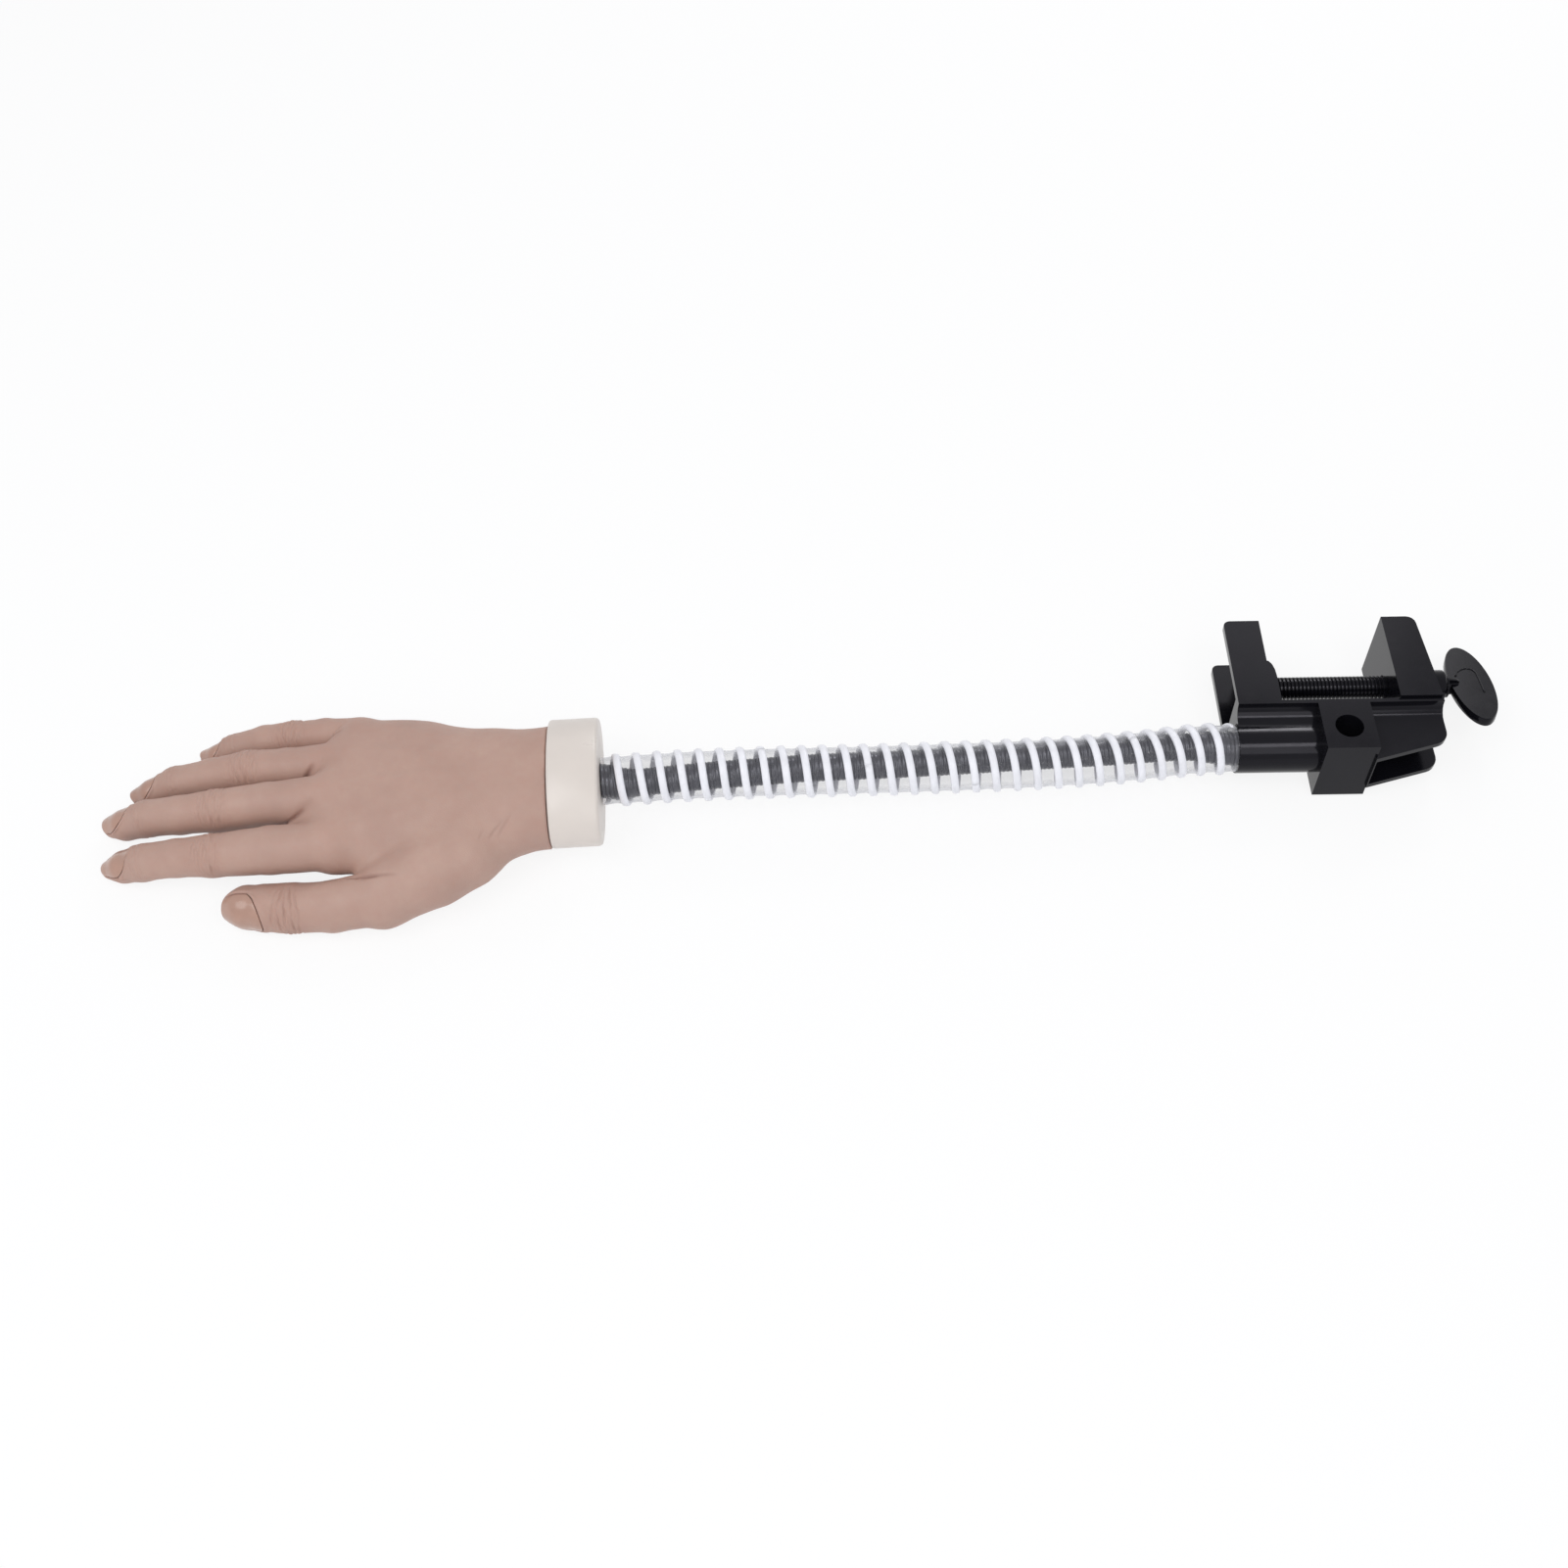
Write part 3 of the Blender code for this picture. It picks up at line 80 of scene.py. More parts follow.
# Each finger: points along its middle from the knuckle to near its end, in millimetres, each
# with a radius. The third is the middle joint and the last but two the end joint.
FINGERS = {
    "index": ((96.3, 27.9, 1.3, 10.9), (122.0, 27.3, 0.0, 10.6), (148.2, 26.0, -3.5, 9.6),
              (165.0, 23.7, -7.0, 8.5), (180.7, 22.7, -10.6, 8.3), (190.5, 22.1, -14.4, 6.8),
              (196.8, 20.9, -17.0, 4.7)),
    "middle": ((101.1, 4.0, 2.8, 11.2), (125.0, 3.2, 1.5, 9.6), (148.4, 3.0, -1.7, 9.5),
               (166.0, 1.6, -5.3, 8.6), (182.4, -0.3, -9.2, 8.3), (193.0, -0.9, -14.0, 6.9),
               (198.8, -2.2, -16.4, 5.4)),
    "ring": ((100.2, -16.9, 0.7, 10.0), (119.0, -17.9, -0.7, 8.9), (137.3, -19.5, -3.4, 9.3),
             (155.0, -20.3, -7.4, 8.3), (172.3, -20.5, -11.4, 7.9), (183.6, -18.9, -15.3, 6.2),
             (190.4, -19.1, -17.5, 4.2)),
    "little": ((90.3, -34.3, -1.8, 9.0), (104.0, -36.8, -3.0, 7.9), (118.4, -38.4, -5.4, 8.0),
               (133.0, -40.0, -8.6, 7.4), (148.2, -39.7, -13.0, 7.0), (156.3, -38.4, -15.9, 5.2),
               (161.9, -40.0, -17.8, 3.7)),
    "thumb": ((75.3, 50.3, -8.0, 12.5), (94.6, 52.1, -9.9, 11.1), (113.0, 50.7, -11.5, 10.8),
              (119.0, 49.9, -11.9, 10.4), (124.5, 49.0, -12.3, 10.1), (133.0, 47.7, -13.0, 9.2),
              (136.6, 47.1, -13.8, 7.9)),
}
# Ball of the thumb, from the wrist to the thumb's knuckle.
THENAR = ((22.1, 18.7, -4.0, 14.3), (37.3, 30.6, -4.5, 14.7), (52.0, 38.9, -5.5, 15.0),
          (66.0, 44.7, -7.0, 13.3), (75.3, 50.3, -8.0, 12.5))
# Skin webs between neighbours and the flesh under the middle finger: two points and radii each.
WEBS = (
    ((96.0, 16.2, 0.0, 10.0), (111.3, 15.6, -1.0, 4.8)),
    ((94.0, -6.8, 0.0, 10.0), (104.6, -7.4, -2.0, 4.6)),
    ((84.0, -27.0, -1.0, 9.5), (94.0, -27.8, -3.2, 4.4)),
    ((62.0, 42.0, -6.0, 11.0), (76.0, 42.0, -7.5, 5.0)),
    ((78.0, 30.0, -3.0, 10.4), (94.0, 29.6, -4.0, 6.4)),
    ((118.0, 3.2, -2.5, 9.0), (150.0, 3.0, -5.6, 8.4)),
)
# Where the skin starts to turn with each finger, as the distance along the hand.
FINGER_STARTS = {"index": 117.0, "middle": 117.5, "ring": 110.5, "little": 99.5, "thumb": 87.0}
# Palm sections: along, sideways, up, half breadth, half thickness.
PALM = (
    (-4.0, 1.7, 0.0, 29.8, 20.2), (3.0, 2.1, 0.0, 29.3, 20.0), (14.0, 2.9, 0.0, 30.4, 18.9),
    (25.0, 1.5, 0.2, 30.7, 17.7), (34.0, 1.5, 0.4, 31.3, 16.8), (43.0, 0.9, 0.6, 32.9, 16.2),
    (56.0, -0.7, 0.8, 35.5, 15.5), (77.0, -2.1, 1.0, 36.4, 14.4), (92.0, -3.2, 1.2, 35.8, 12.8),
    (103.0, -4.0, 1.0, 31.5, 9.0), (110.0, -4.0, 0.0, 26.0, 6.0),
)
PALM_END = 101.0
# How square the sections are, the level that the hand lies on, and its gap to the collar.
SECTION_POWER = 2.3
TABLE = -21.7
WRIST_GAP = 0.35
# Hollow of the palm: its middle, its half sizes and how deep it cuts.
HOLLOW_MIDDLE = (62.0, -4.0, -25.0)
HOLLOW_SIZES = (30.0, 17.0, 9.0)
HOLLOW_DEPTH = 9.0
# Nails: length in the middle, half angle, how far each is turned towards the thumb side, how
# much longer it is on the far side, how far its root bows, and where its free edge is.
NAILS = {
    "index": (18.3, 50.0, 20.0, 2.7, 3.0, 1.0), "middle": (16.2, 58.0, 8.0, 4.0, 5.0, 1.3),
    "ring": (15.0, 58.0, 8.0, 3.75, 4.15, 0.9), "little": (13.2, 56.0, 4.0, 1.8, 3.5, 0.85),
    "thumb": (21.0, 58.0, 56.0, -2.1, 3.6, 1.5),
}
NAIL_THICKNESS = 0.9
NAIL_SEAT = 1.2
NAIL_SLOT = 0.5
# Wires inside the fingers: their radius, and the number of parts along each stretch.
WIRE_RADIUS = 1.0 * MM
WIRE_PARTS = 16

GRID_PITCH = 1.1
LONGEST_STEP = 0.6
GRID_LOW = (-1.5, -52.0, -24.0)
GRID_HIGH = (207.0, 70.0, 25.0)

# Wrinkles: place along the finger from the joint, and depth, in millimetres.
MIDDLE_WRINKLES = ((-7.2, 0.20), (-5.7, 0.34), (-4.3, 0.30), (-2.9, 0.46), (-1.4, 0.40), (0.1, 0.50),
                   (1.6, 0.38), (3.0, 0.44), (4.5, 0.30), (6.1, 0.24))
END_WRINKLES = ((-2.9, 0.20), (-1.3, 0.34), (0.3, 0.30), (1.9, 0.26))
THUMB_WRINKLES = ((-6.4, 0.50), (-3.4, 0.72), (-1.9, 0.24), (-0.2, 0.80), (1.5, 0.26), (3.0, 0.72),
                  (6.0, 0.50))
WRINKLE_WIDTH = 0.50
# Points of each finger at which it has wrinkles and a fold, and how far these reach.
MIDDLE_JOINT = 2
END_JOINT = 4
JOINT_REACH = {MIDDLE_JOINT: 9.0, END_JOINT: 5.0}
KNUCKLE_RISES = {"index": 0.9, "middle": 0.9, "ring": 0.5, "little": 0.0}
# Creases of the skin: ends, width and depth.
CREASES = (
    ((86.0, 46.0, -0.5), (72.0, 48.6, 5.0), 0.8, 1.0),
    ((79.0, 48.4, 3.5), (64.0, 48.4, 6.4), 0.8, 0.6),
    ((117.0, 13.4, -1.0), (107.0, 12.8, 8.5), 1.0, 1.0),
    ((110.0, 13.0, 7.0), (102.2, 10.1, 12.3), 2.2, 0.35),
    ((112.0, -6.6, -1.0), (105.0, -12.1, 8.8), 1.0, 1.1),
    ((99.5, -26.8, -2.0), (93.6, -29.3, 9.7), 1.0, 1.1),
    ((22.0, 31.0, 6.0), (15.0, 25.0, 14.0), 0.6, 0.35),
    ((27.0, 34.0, 6.0), (19.0, 28.0, 13.5), 0.6, 0.35),
    ((33.0, 37.5, 5.0), (27.0, 31.0, 12.0), 0.7, 0.30),
    ((40.0, 42.0, -18.0), (84.0, 6.0, -18.0), 1.6, 1.2),
    ((90.0, -34.0, -14.0), (78.0, 10.0, -16.0), 1.4, 1.0),
    ((96.0, 32.0, -12.0), (84.0, -12.0, -14.0), 1.4, 1.0),
)

# Hose, rib and core.
SLEEVE_RADIUS = 10.7 * MM
SLEEVE_DIP = 0.28 * MM
SLEEVE_RIPPLE = 0.05 * MM
SLEEVE_GAP = 0.3 * MM
RIB_TURNS = 30.10
RIB_START_TURN = 0.05
RIB_REACH = 10.6 * MM
RIB_HALF_WIDTH = 1.75 * MM
RIB_HALF_HEIGHT = 1.35 * MM
RIB_ROOM = 3.9 * MM
RIB_END_ROOM = 1.8 * MM
RIB_TAPER = 2.0 * MM
CORE_RADIUS = 6.0 * MM
CORE_SWELL = 1.5 * MM
CORE_RIDGE = 0.32 * MM
CORE_PITCH = 1.85 * MM
CORE_TUCK = 9.0 * MM
# The core lies against one wall of the hose: share of the hose and drift in millimetres.
CORE_DRIFT = (
    (0.0, 0.4), (0.042, 0.9), (0.102, 2.3), (0.203, 3.2), (0.336, 3.4), (0.43, 2.8), (0.53, 2.2),
    (0.625, 1.8), (0.69, 1.3), (0.75, 0.4), (0.818, -0.4), (0.885, -1.2), (0.95, -1.8), (1.0, -1.8),
)
# Lean of the rib's turns near the wrist, and the angle round the hose that it and the drift face.
RIB_LEAN = 0.35 * MM
LEAN_ANGLE = math.radians(-36.0)

# Collar on the wrist. Its spigot is thinner than the solid's and tapers, so the skin hides it.
COLLAR_HALF_BREADTH = 31.9 * MM
COLLAR_HALF_HEIGHT = 21.9 * MM
SPIGOT_STEP = 5.5 * MM
SPIGOT_LENGTH = 12.0 * MM
SPIGOT_TAPER = 7.5 * MM
COLLAR_BORE = 8.2 * MM
# Inset of the collar's rims, and the distance along it, in millimetres.
COLLAR_RIMS = ((1.6, 0.3), (1.1, 0.42), (0.6, 0.75), (0.2, 1.3), (0.0, 2.0), (0.0, 21.6), (0.25, 22.25),
               (0.8, 22.6))

# Clamp screw and thumb plate.
SCREW_AXIS = -18.6 * MM
JOURNAL_START = -6.5 * MM
CLIP_GROOVE = (-5.3 * MM, -3.2 * MM)
THREAD_START = 3.5 * MM
THREAD_END = 79.0 * MM
SHANK_END = 84.0 * MM
PIN_END = 90.0 * MM
THREAD_RADIUS = 5.3 * MM
THREAD_DEPTH = 0.75 * MM
THREAD_STEPS = 16
THREAD_PITCH = 1.75 * MM
SHANK_RADIUS = 4.8 * MM
JOURNAL_RADIUS = 3.7 * MM
PIN_RADIUS = 2.3 * MM
PLATE_CENTRE = 96.65 * MM
PLATE_HALF_LENGTH = 27.0 * MM
PLATE_HALF_BREADTH = 9.75 * MM
PLATE_HALF_THICKNESS = 2.1 * MM
PLATE_TURN = math.radians(13.0)
PLATE_BEAD = 0.45 * MM
PLATE_LINE = ((-6.0, 4.6), (-4.6, 7.6), (-2.2, 9.6), (0.6, 10.6), (2.9, 9.6), (4.0, 7.2), (4.1, 3.0),
              (4.0, -2.5), (3.9, -7.5))

# Stem between the screw and the plate: radius between its ribs in millimetres, half angle of a rib.
STEM_CORE = 2.5
STEM_RIB_ANGLE = 0.28

# Camera of the photograph, found from the clamp's straight edges, the hose and the collar.
CAMERA_PLACE = (-0.2118, -0.56115, 0.6719)
CAMERA_RIGHT = (0.9998, -0.0060, -0.0175)
CAMERA_DOWN = (-0.0152, -0.8066, -0.5909)
CAMERA_AHEAD = (-0.0106, 0.5911, -0.8066)
PHOTO_SIDE = 1601
FOCAL_PIXELS = 1900
SENSOR = 36.0
FLOOR_LEVEL = -0.0191

# Light of the world, and the floor's half side and the share of it that shows plain white.
WORLD_LIGHT = 0.50
FLOOR_HALF_SIDE = 6
FLOOR_SHARE = 0.86
# Soft boxes: place, the point that each faces, side and watts.
LIGHTS = {
    "key": ((-0.95, -0.55, 1.25), (-0.2, -0.05, 0.0), 1.1, 8.6),
    "fill": ((0.1, -1.2, 0.95), (-0.15, -0.05, 0.0), 0.8, 3.6),
    "back": ((0.1, 1.15, 0.75), (-0.1, 0.0, 0.0), 0.9, 2.8),
    "strip_front": ((0.29, -0.55, 1.05), (0.0, -0.05, 0.0), 0.28, 1.5),
    "strip_back": ((0.29, 0.89, 0.70), (0.0, -0.05, 0.0), 0.20, 1.1),
}

# Edges of the clamp's solids above this angle stay sharp; points closer than this are joined.
SMOOTH_ANGLE = math.radians(22.0)
JOIN_DISTANCE = 0.004 * MM


# Small geometry helpers

def new_piece(name, points, faces, finish):
    """A smooth mesh object from points in metres and faces."""
    mesh = bpy.data.meshes.new(name)
    mesh.from_pydata([tuple(p) for p in points], [], [tuple(int(i) for i in f) for f in faces])
    mesh.materials.append(finish)
    mesh.shade_smooth()
    made = bpy.data.objects.new(name, mesh)
    bpy.context.scene.collection.objects.link(made)
    return made


def face_outwards(piece):
    """Turn every face to the outside."""
    shape = bmesh.new()
    shape.from_mesh(piece.data)
    bmesh.ops.recalc_face_normals(shape, faces=shape.faces)
    shape.to_mesh(piece.data)
    shape.free()


def keep_sharp(piece, degrees):
    """Keep the corners above an angle sharp."""
    piece.data.set_sharp_from_angle(angle=math.radians(degrees))


def grid_faces(rows, columns, start=0, closed=True):
    """Four-sided faces over rows of points, each row a closed or an open line."""
    faces = []
    for i in range(rows - 1):
        for j in range(columns if closed else columns - 1):
            k = (j + 1) % columns
            a, b = start + i * columns, start + (i + 1) * columns
            faces.append((a + j, a + k, b + k, b + j))
    return faces


def rings_piece(name, rings, finish, capped=True):
    """A skin through rings of points, closed at both ends where it is capped."""
    sides = len(rings[0])
    points = [p for ring in rings for p in ring]
    faces = grid_faces(len(rings), sides)
    if capped:
        faces.append(tuple(range(sides)))
        faces.append(tuple(range(len(points) - sides, len(points))))
    made = new_piece(name, points, faces, finish)
    face_outwards(made)
    return made


def ramp(value, low, high):
    """0 below low, 1 above high, smooth between, also where low is above high."""
    t = np.clip((value - low) / (high - low), 0.0, 1.0)
    return t * t * (3.0 - 2.0 * t)


def curve_through(knots, values, at):
    """Smooth curve through values at rising knots."""
    knots, values = np.asarray(knots, float), np.asarray(values, float)
    slopes = np.gradient(values, knots)
    i = np.clip(np.searchsorted(knots, at) - 1, 0, len(knots) - 2)
    span = knots[i + 1] - knots[i]
    t = np.clip((at - knots[i]) / span, 0.0, 1.0)
    a = 2 * t ** 3 - 3 * t ** 2 + 1
    b = t ** 3 - 2 * t ** 2 + t
    c = -2 * t ** 3 + 3 * t ** 2
    d = t ** 3 - t ** 2
    return a * values[i] + b * span * slopes[i] + c * values[i + 1] + d * span * slopes[i + 1]


def hand_to_world(points):
    """Places in metres of points in the hand's own axes."""
    return np.asarray(points) * MM @ HAND_AXES + np.array(WRIST_FACE)


def world_to_hand(point):
    """A place in metres, in the hand's own axes."""
    return (np.array(point) - np.array(WRIST_FACE)) @ HAND_AXES.T / MM


# Materials

def node(tree, kind, **values):
    """Add a shader node and set its attributes."""
    made = tree.nodes.new(kind)
    for key, value in values.items():
        setattr(made, key, value)
    return made


def noise(tree, place, scale, detail=3.0, roughness=0.5):
    """A noise texture in object space, its size in turns per metre."""
    made = node(tree, "ShaderNodeTexNoise")
    made.inputs["Scale"].default_value = scale
    made.inputs["Detail"].default_value = detail
    made.inputs["Roughness"].default_value = roughness
    tree.links.new(place, made.inputs["Vector"])
    return made.outputs["Fac"]


def spread(tree, value, low, high, from_low=0.3, from_high=0.7):
    """Stretch a 0 to 1 pattern to a range of values."""
    made = node(tree, "ShaderNodeMapRange")
    for key, number in (("From Min", from_low), ("From Max", from_high), ("To Min", low), ("To Max", high)):
        made.inputs[key].default_value = number
    tree.links.new(value, made.inputs["Value"])
    return made.outputs["Result"]


def mixed(tree, factor, first, second):
    """A colour between two colours or colour outputs."""
    made = node(tree, "ShaderNodeMix", data_type="RGBA")
    tree.links.new(factor, made.inputs["Factor"])
    for socket, value in ((made.inputs["A"], first), (made.inputs["B"], second)):
        if isinstance(value, tuple):
            socket.default_value = (*value, 1.0)
        else:
            tree.links.new(value, socket)
    return made.outputs["Result"]


def bump(tree, height, distance, strength, under=None):
    """A bump from a height pattern, on top of another bump."""
    made = node(tree, "ShaderNodeBump")
    made.inputs["Distance"].default_value = distance
    made.inputs["Strength"].default_value = strength
    tree.links.new(height, made.inputs["Height"])
    if under is not None:
        tree.links.new(under, made.inputs["Normal"])
    return made.outputs["Normal"]


def start_material(name):
    """A new material: its node tree, its Principled shader and its object coordinates."""
    made = bpy.data.materials.new(name)
    made.use_nodes = True
    tree = made.node_tree
    shader = tree.nodes["Principled BSDF"]
    place = node(tree, "ShaderNodeTexCoord").outputs["Object"]
    return made, tree, shader, place


def finish_parts(name, colour, roughness, metallic=0.0, drift=0.12, patch=60.0, grain=900.0, relief=0.03,
                 rough_drift=0.08):
    """Moulded or metal material with patchy colour, uneven gloss and a fine grain, and its parts."""
    made, tree, shader, place = start_material(name)
    dark = tuple(c * (1.0 - drift) for c in colour)
    light = tuple(min(c * (1.0 + drift), 1.0) for c in colour)
    broad = noise(tree, place, patch, 4.0, 0.6)
    tree.links.new(mixed(tree, spread(tree, broad, 0.0, 1.0), dark, light), shader.inputs["Base Color"])
    uneven = noise(tree, place, patch * 3.0, 5.0, 0.65)
    low, high = max(roughness - rough_drift, 0.03), roughness + rough_drift
    tree.links.new(spread(tree, uneven, low, high), shader.inputs["Roughness"])
    fine = noise(tree, place, grain, 2.0)
    tree.links.new(bump(tree, fine, relief * MM, 0.6), shader.inputs["Normal"])
    shader.inputs["Metallic"].default_value = metallic
    return made, tree, shader, place


def plain_finish(*values, **more):
    """The material alone of finish_parts."""
    return finish_parts(*values, **more)[0]


def mark(tree, name):
    """A mark that the sculpting leaves on the skin."""
    return node(tree, "ShaderNodeAttribute", attribute_name=name).outputs["Fac"]


def skin_lines(tree, place, scales, width):
    """Fine lines between irregular cells: 0 on a line, 1 inside a cell."""
    stretch = node(tree, "ShaderNodeMapping")
    stretch.inputs["Scale"].default_value = scales
    tree.links.new(place, stretch.inputs["Vector"])
    cells = node(tree, "ShaderNodeTexVoronoi", feature="DISTANCE_TO_EDGE")
    cells.inputs["Scale"].default_value = 1.0
    tree.links.new(stretch.outputs["Vector"], cells.inputs["Vector"])
    return spread(tree, cells.outputs["Distance"], 0.0, 1.0, 0.0, width)


def skin_finish():
    """Silicone skin: mottled, pinker at the joints, with painted shade in its creases, wrinkles and nail
    slots, and fine pores and lines.
    """
    made, tree, shader, place = start_material("skin")
    broad = spread(tree, noise(tree, place, 38.0, 3.0, 0.55), 0.0, 1.0)
    colour = mixed(tree, broad, (0.440, 0.285, 0.232), (0.505, 0.338, 0.276))
    mottle = spread(tree, noise(tree, place, 230.0, 4.0, 0.6), 0.0, 0.35)
    colour = mixed(tree, mottle, colour, (0.455, 0.270, 0.222))
    flush = spread(tree, mark(tree, "flush"), 0.0, 0.50, 0.0, 1.0)
    colour = mixed(tree, flush, colour, (0.470, 0.262, 0.205))
    # Painted shade: the skin's colour goes darker in its creases, wrinkles, joint folds and nail slots.
    painted_crease_shade = spread(tree, mark(tree, "painted_crease_shade"), 0.0, 0.8, 0.0, 1.0)
    colour = mixed(tree, painted_crease_shade, colour, (0.230, 0.115, 0.090))
    tree.links.new(colour, shader.inputs["Base Color"])
    shine = spread(tree, noise(tree, place, 120.0, 4.0, 0.6), 0.46, 0.62)
    tree.links.new(shine, shader.inputs["Roughness"])
    pores = skin_lines(tree, place, (900.0, 900.0, 900.0), 0.12)
    normal = bump(tree, pores, 0.05 * MM, 0.35)
    normal = bump(tree, noise(tree, place, 420.0, 5.0, 0.65), 0.16 * MM, 0.4, normal)
    folds = node(tree, "ShaderNodeMath", operation="MULTIPLY")
    tree.links.new(skin_lines(tree, place, (900.0, 260.0, 260.0), 0.2), folds.inputs[0])
    tree.links.new(mark(tree, "folded"), folds.inputs[1])
    normal = bump(tree, folds.outputs[0], 0.16 * MM, 0.5, normal)
    tree.links.new(normal, shader.inputs["Normal"])
    shader.inputs["Subsurface Weight"].default_value = 0.12
    shader.inputs["Subsurface Radius"].default_value = (1.0, 0.45, 0.3)
    shader.inputs["Subsurface Scale"].default_value = 2.0 * MM
    shader.inputs["Specular IOR Level"].default_value = 0.4
    return made


def nail_finish():
    """Glossy nail plate, a little browner than the skin."""
    made, _, shader, _ = finish_parts("nail", (0.435, 0.258, 0.196), 0.24, drift=0.08, patch=90.0,
                                      grain=700.0, relief=0.02, rough_drift=0.04)
    shader.inputs["Coat Weight"].default_value = 0.25
    shader.inputs["Coat Roughness"].default_value = 0.08
    return made


def hose_finish():
    """Clear hose wall: almost see-through face on and more opaque at its edges, with painted shade face on
    and a painted sheen at its edges.
    """
    made, tree, shader, _ = finish_parts("clear_hose", (0.76, 0.76, 0.81), 0.14, drift=0.04, patch=80.0,
                                         grain=260.0, relief=0.20, rough_drift=0.05)
    facing = node(tree, "ShaderNodeLayerWeight")
    facing.inputs["Blend"].default_value = 0.45
    edge = facing.outputs["Facing"]
    # Painted shade and sheen: the colour is dark where the wall is seen face on, for the shaded core seen
    # through it, and pale at its edges, for the wall's reflection.
    painted_edge_sheen = spread(tree, edge, 0.0, 1.0, 0.15, 0.6)
    colour = mixed(tree, painted_edge_sheen, (0.36, 0.36, 0.40), (0.84, 0.84, 0.88))
    tree.links.new(colour, shader.inputs["Base Color"])
    tree.links.new(spread(tree, edge, 0.17, 0.85, 0.25, 1.0), shader.inputs["Alpha"])
    return made


def black_finish():
    """Black moulded plastic with a satin face."""
    made, tree, shader, place = finish_parts("black_plastic", (0.0050, 0.0049, 0.0068), 0.14, drift=0.15,
                                             patch=45.0, grain=1500.0, relief=0.012, rough_drift=0.05)
    scuffs = node(tree, "ShaderNodeTexNoise")
    scuffs.inputs["Scale"].default_value = 420.0
    scuffs.inputs["Detail"].default_value = 6.0
    scuffs.inputs["Distortion"].default_value = 1.5
    tree.links.new(place, scuffs.inputs["Vector"])
    normal = bump(tree, scuffs.outputs["Fac"], 0.012 * MM, 0.3)
    tree.links.new(normal, shader.inputs["Normal"])
    shader.inputs["Specular IOR Level"].default_value = 0.18
    shader.inputs["Specular Tint"].default_value = (0.92, 0.90, 1.0, 1.0)
    return made


SKIN = skin_finish()
NAIL = nail_finish()
HOSE = hose_finish()
BLACK = black_finish()
CORE = plain_finish("core_steel", (0.060, 0.060, 0.068), 0.20, 1.0, drift=0.35, patch=160.0,
                    grain=1200.0, relief=0.02)
RIB = plain_finish("white_rib", (0.86, 0.86, 0.90), 0.32, drift=0.05, patch=120.0, grain=500.0,
                   relief=0.05)
IVORY = plain_finish("ivory_plastic", (0.72, 0.655, 0.60), 0.34, drift=0.03, patch=35.0, relief=0.015)
STEEL = plain_finish("steel", (0.42, 0.43, 0.45), 0.25, 1.0, drift=0.15, patch=90.0, grain=1500.0)
DARK_STEEL = plain_finish("dark_steel", (0.05, 0.05, 0.055), 0.35, 1.0, drift=0.2, patch=90.0,
                          grain=1500.0)
INNER = plain_finish("core_plastic", (0.70, 0.70, 0.66), 0.5, drift=0.06)


# Hand skin

def cone_distance(points, first, second):
    """Distance to a round cone between two balls, each given as a place and a radius."""
    a, b = np.array(first[:3]), np.array(second[:3])
    r1, r2 = first[3], second[3]
    axis = b - a
    square = axis @ axis
    drop = r1 - r2
    rest = square - drop * drop
    near = points - a
    along = near @ axis
    past = along - square
    across = near * square - along[:, None] * axis
    x2 = np.einsum("ij,ij->i", across, across)
    y2 = along * along * square
    z2 = past * past * square
    k = np.sign(drop) * drop * drop * x2
    side = (np.sqrt(x2 * rest / square) + along * drop) / square - r1
    low = np.sqrt(x2 + y2) / square - r1
    high = np.sqrt(x2 + z2) / square - r2
    side = np.where(np.sign(along) * rest * y2 < k, low, side)
    return np.where(np.sign(past) * rest * z2 > k, high, side)


def soft_min(a, b, k):
    """The smaller of two distances, with a fillet of about k where they meet."""
    h = np.maximum(k - np.abs(a - b), 0.0) / k
    return np.minimum(a, b) - h * h * k * 0.25


def chain_distance(points, balls, k=1.6):
    """Distance to a chain of round cones."""
    total = cone_distance(points, balls[0], balls[1])
    for first, second in zip(balls[1:], balls[2:]):
        total = soft_min(total, cone_distance(points, first, second), k)
    return total


def palm_distance(points):
    """Distance to the palm, lofted through its sections."""
    table = np.array(PALM)
    side, up, breadth, height = (curve_through(table[:, 0], column, points[:, 0])
                                 for column in table[:, 1:].T)
    across, over = points[:, 1] - side, points[:, 2] - up
    reach = np.sqrt(across ** 2 + over ** 2) + 1e-9
    ratio = (np.abs(across / breadth) ** SECTION_POWER
             + np.abs(over / height) ** SECTION_POWER) ** (1 / SECTION_POWER)
    radial = reach * (1.0 - 1.0 / np.maximum(ratio, 1e-3))
    return -soft_min(-radial, PALM_END - points[:, 0], 14.0)


def finger_distances(points):
    """Distance to each finger by itself."""
    return {name: chain_distance(points, balls) for name, balls in FINGERS.items()}


def skin_distance(points):
    """Distance to the whole hand without its fine relief."""
    total = soft_min(palm_distance(points), chain_distance(points, THENAR, 8.0), 6.0)
    for web in WEBS:
        total = soft_min(total, cone_distance(points, *web), 5.0)
    for name, finger in finger_distances(points).items():
        start = FINGER_STARTS[name]
        k = 0.5 + 7.5 * (1.0 - ramp(points[:, 0], start - 22.0, start - 1.0))
        total = soft_min(total, finger, k)
    hollow = np.sqrt((((points - HOLLOW_MIDDLE) / HOLLOW_SIZES) ** 2).sum(axis=1))
    total = -soft_min(-total, (hollow - 1.0) * HOLLOW_DEPTH, 5.0)
    total = -soft_min(-total, points[:, 2] - TABLE, 3.0)
    return np.maximum(total, WRIST_GAP - points[:, 0])


def gradient(points, step=0.05):
    """Slope of the distance at points, from four samples around each."""
    ways = np.array(((1, -1, -1), (-1, -1, 1), (-1, 1, -1), (1, 1, 1)), float)
    total = np.zeros_like(points)
    for way in ways:
        total += way * skin_distance(points + way * step)[:, None]
    total /= 4.0 * step
    return total


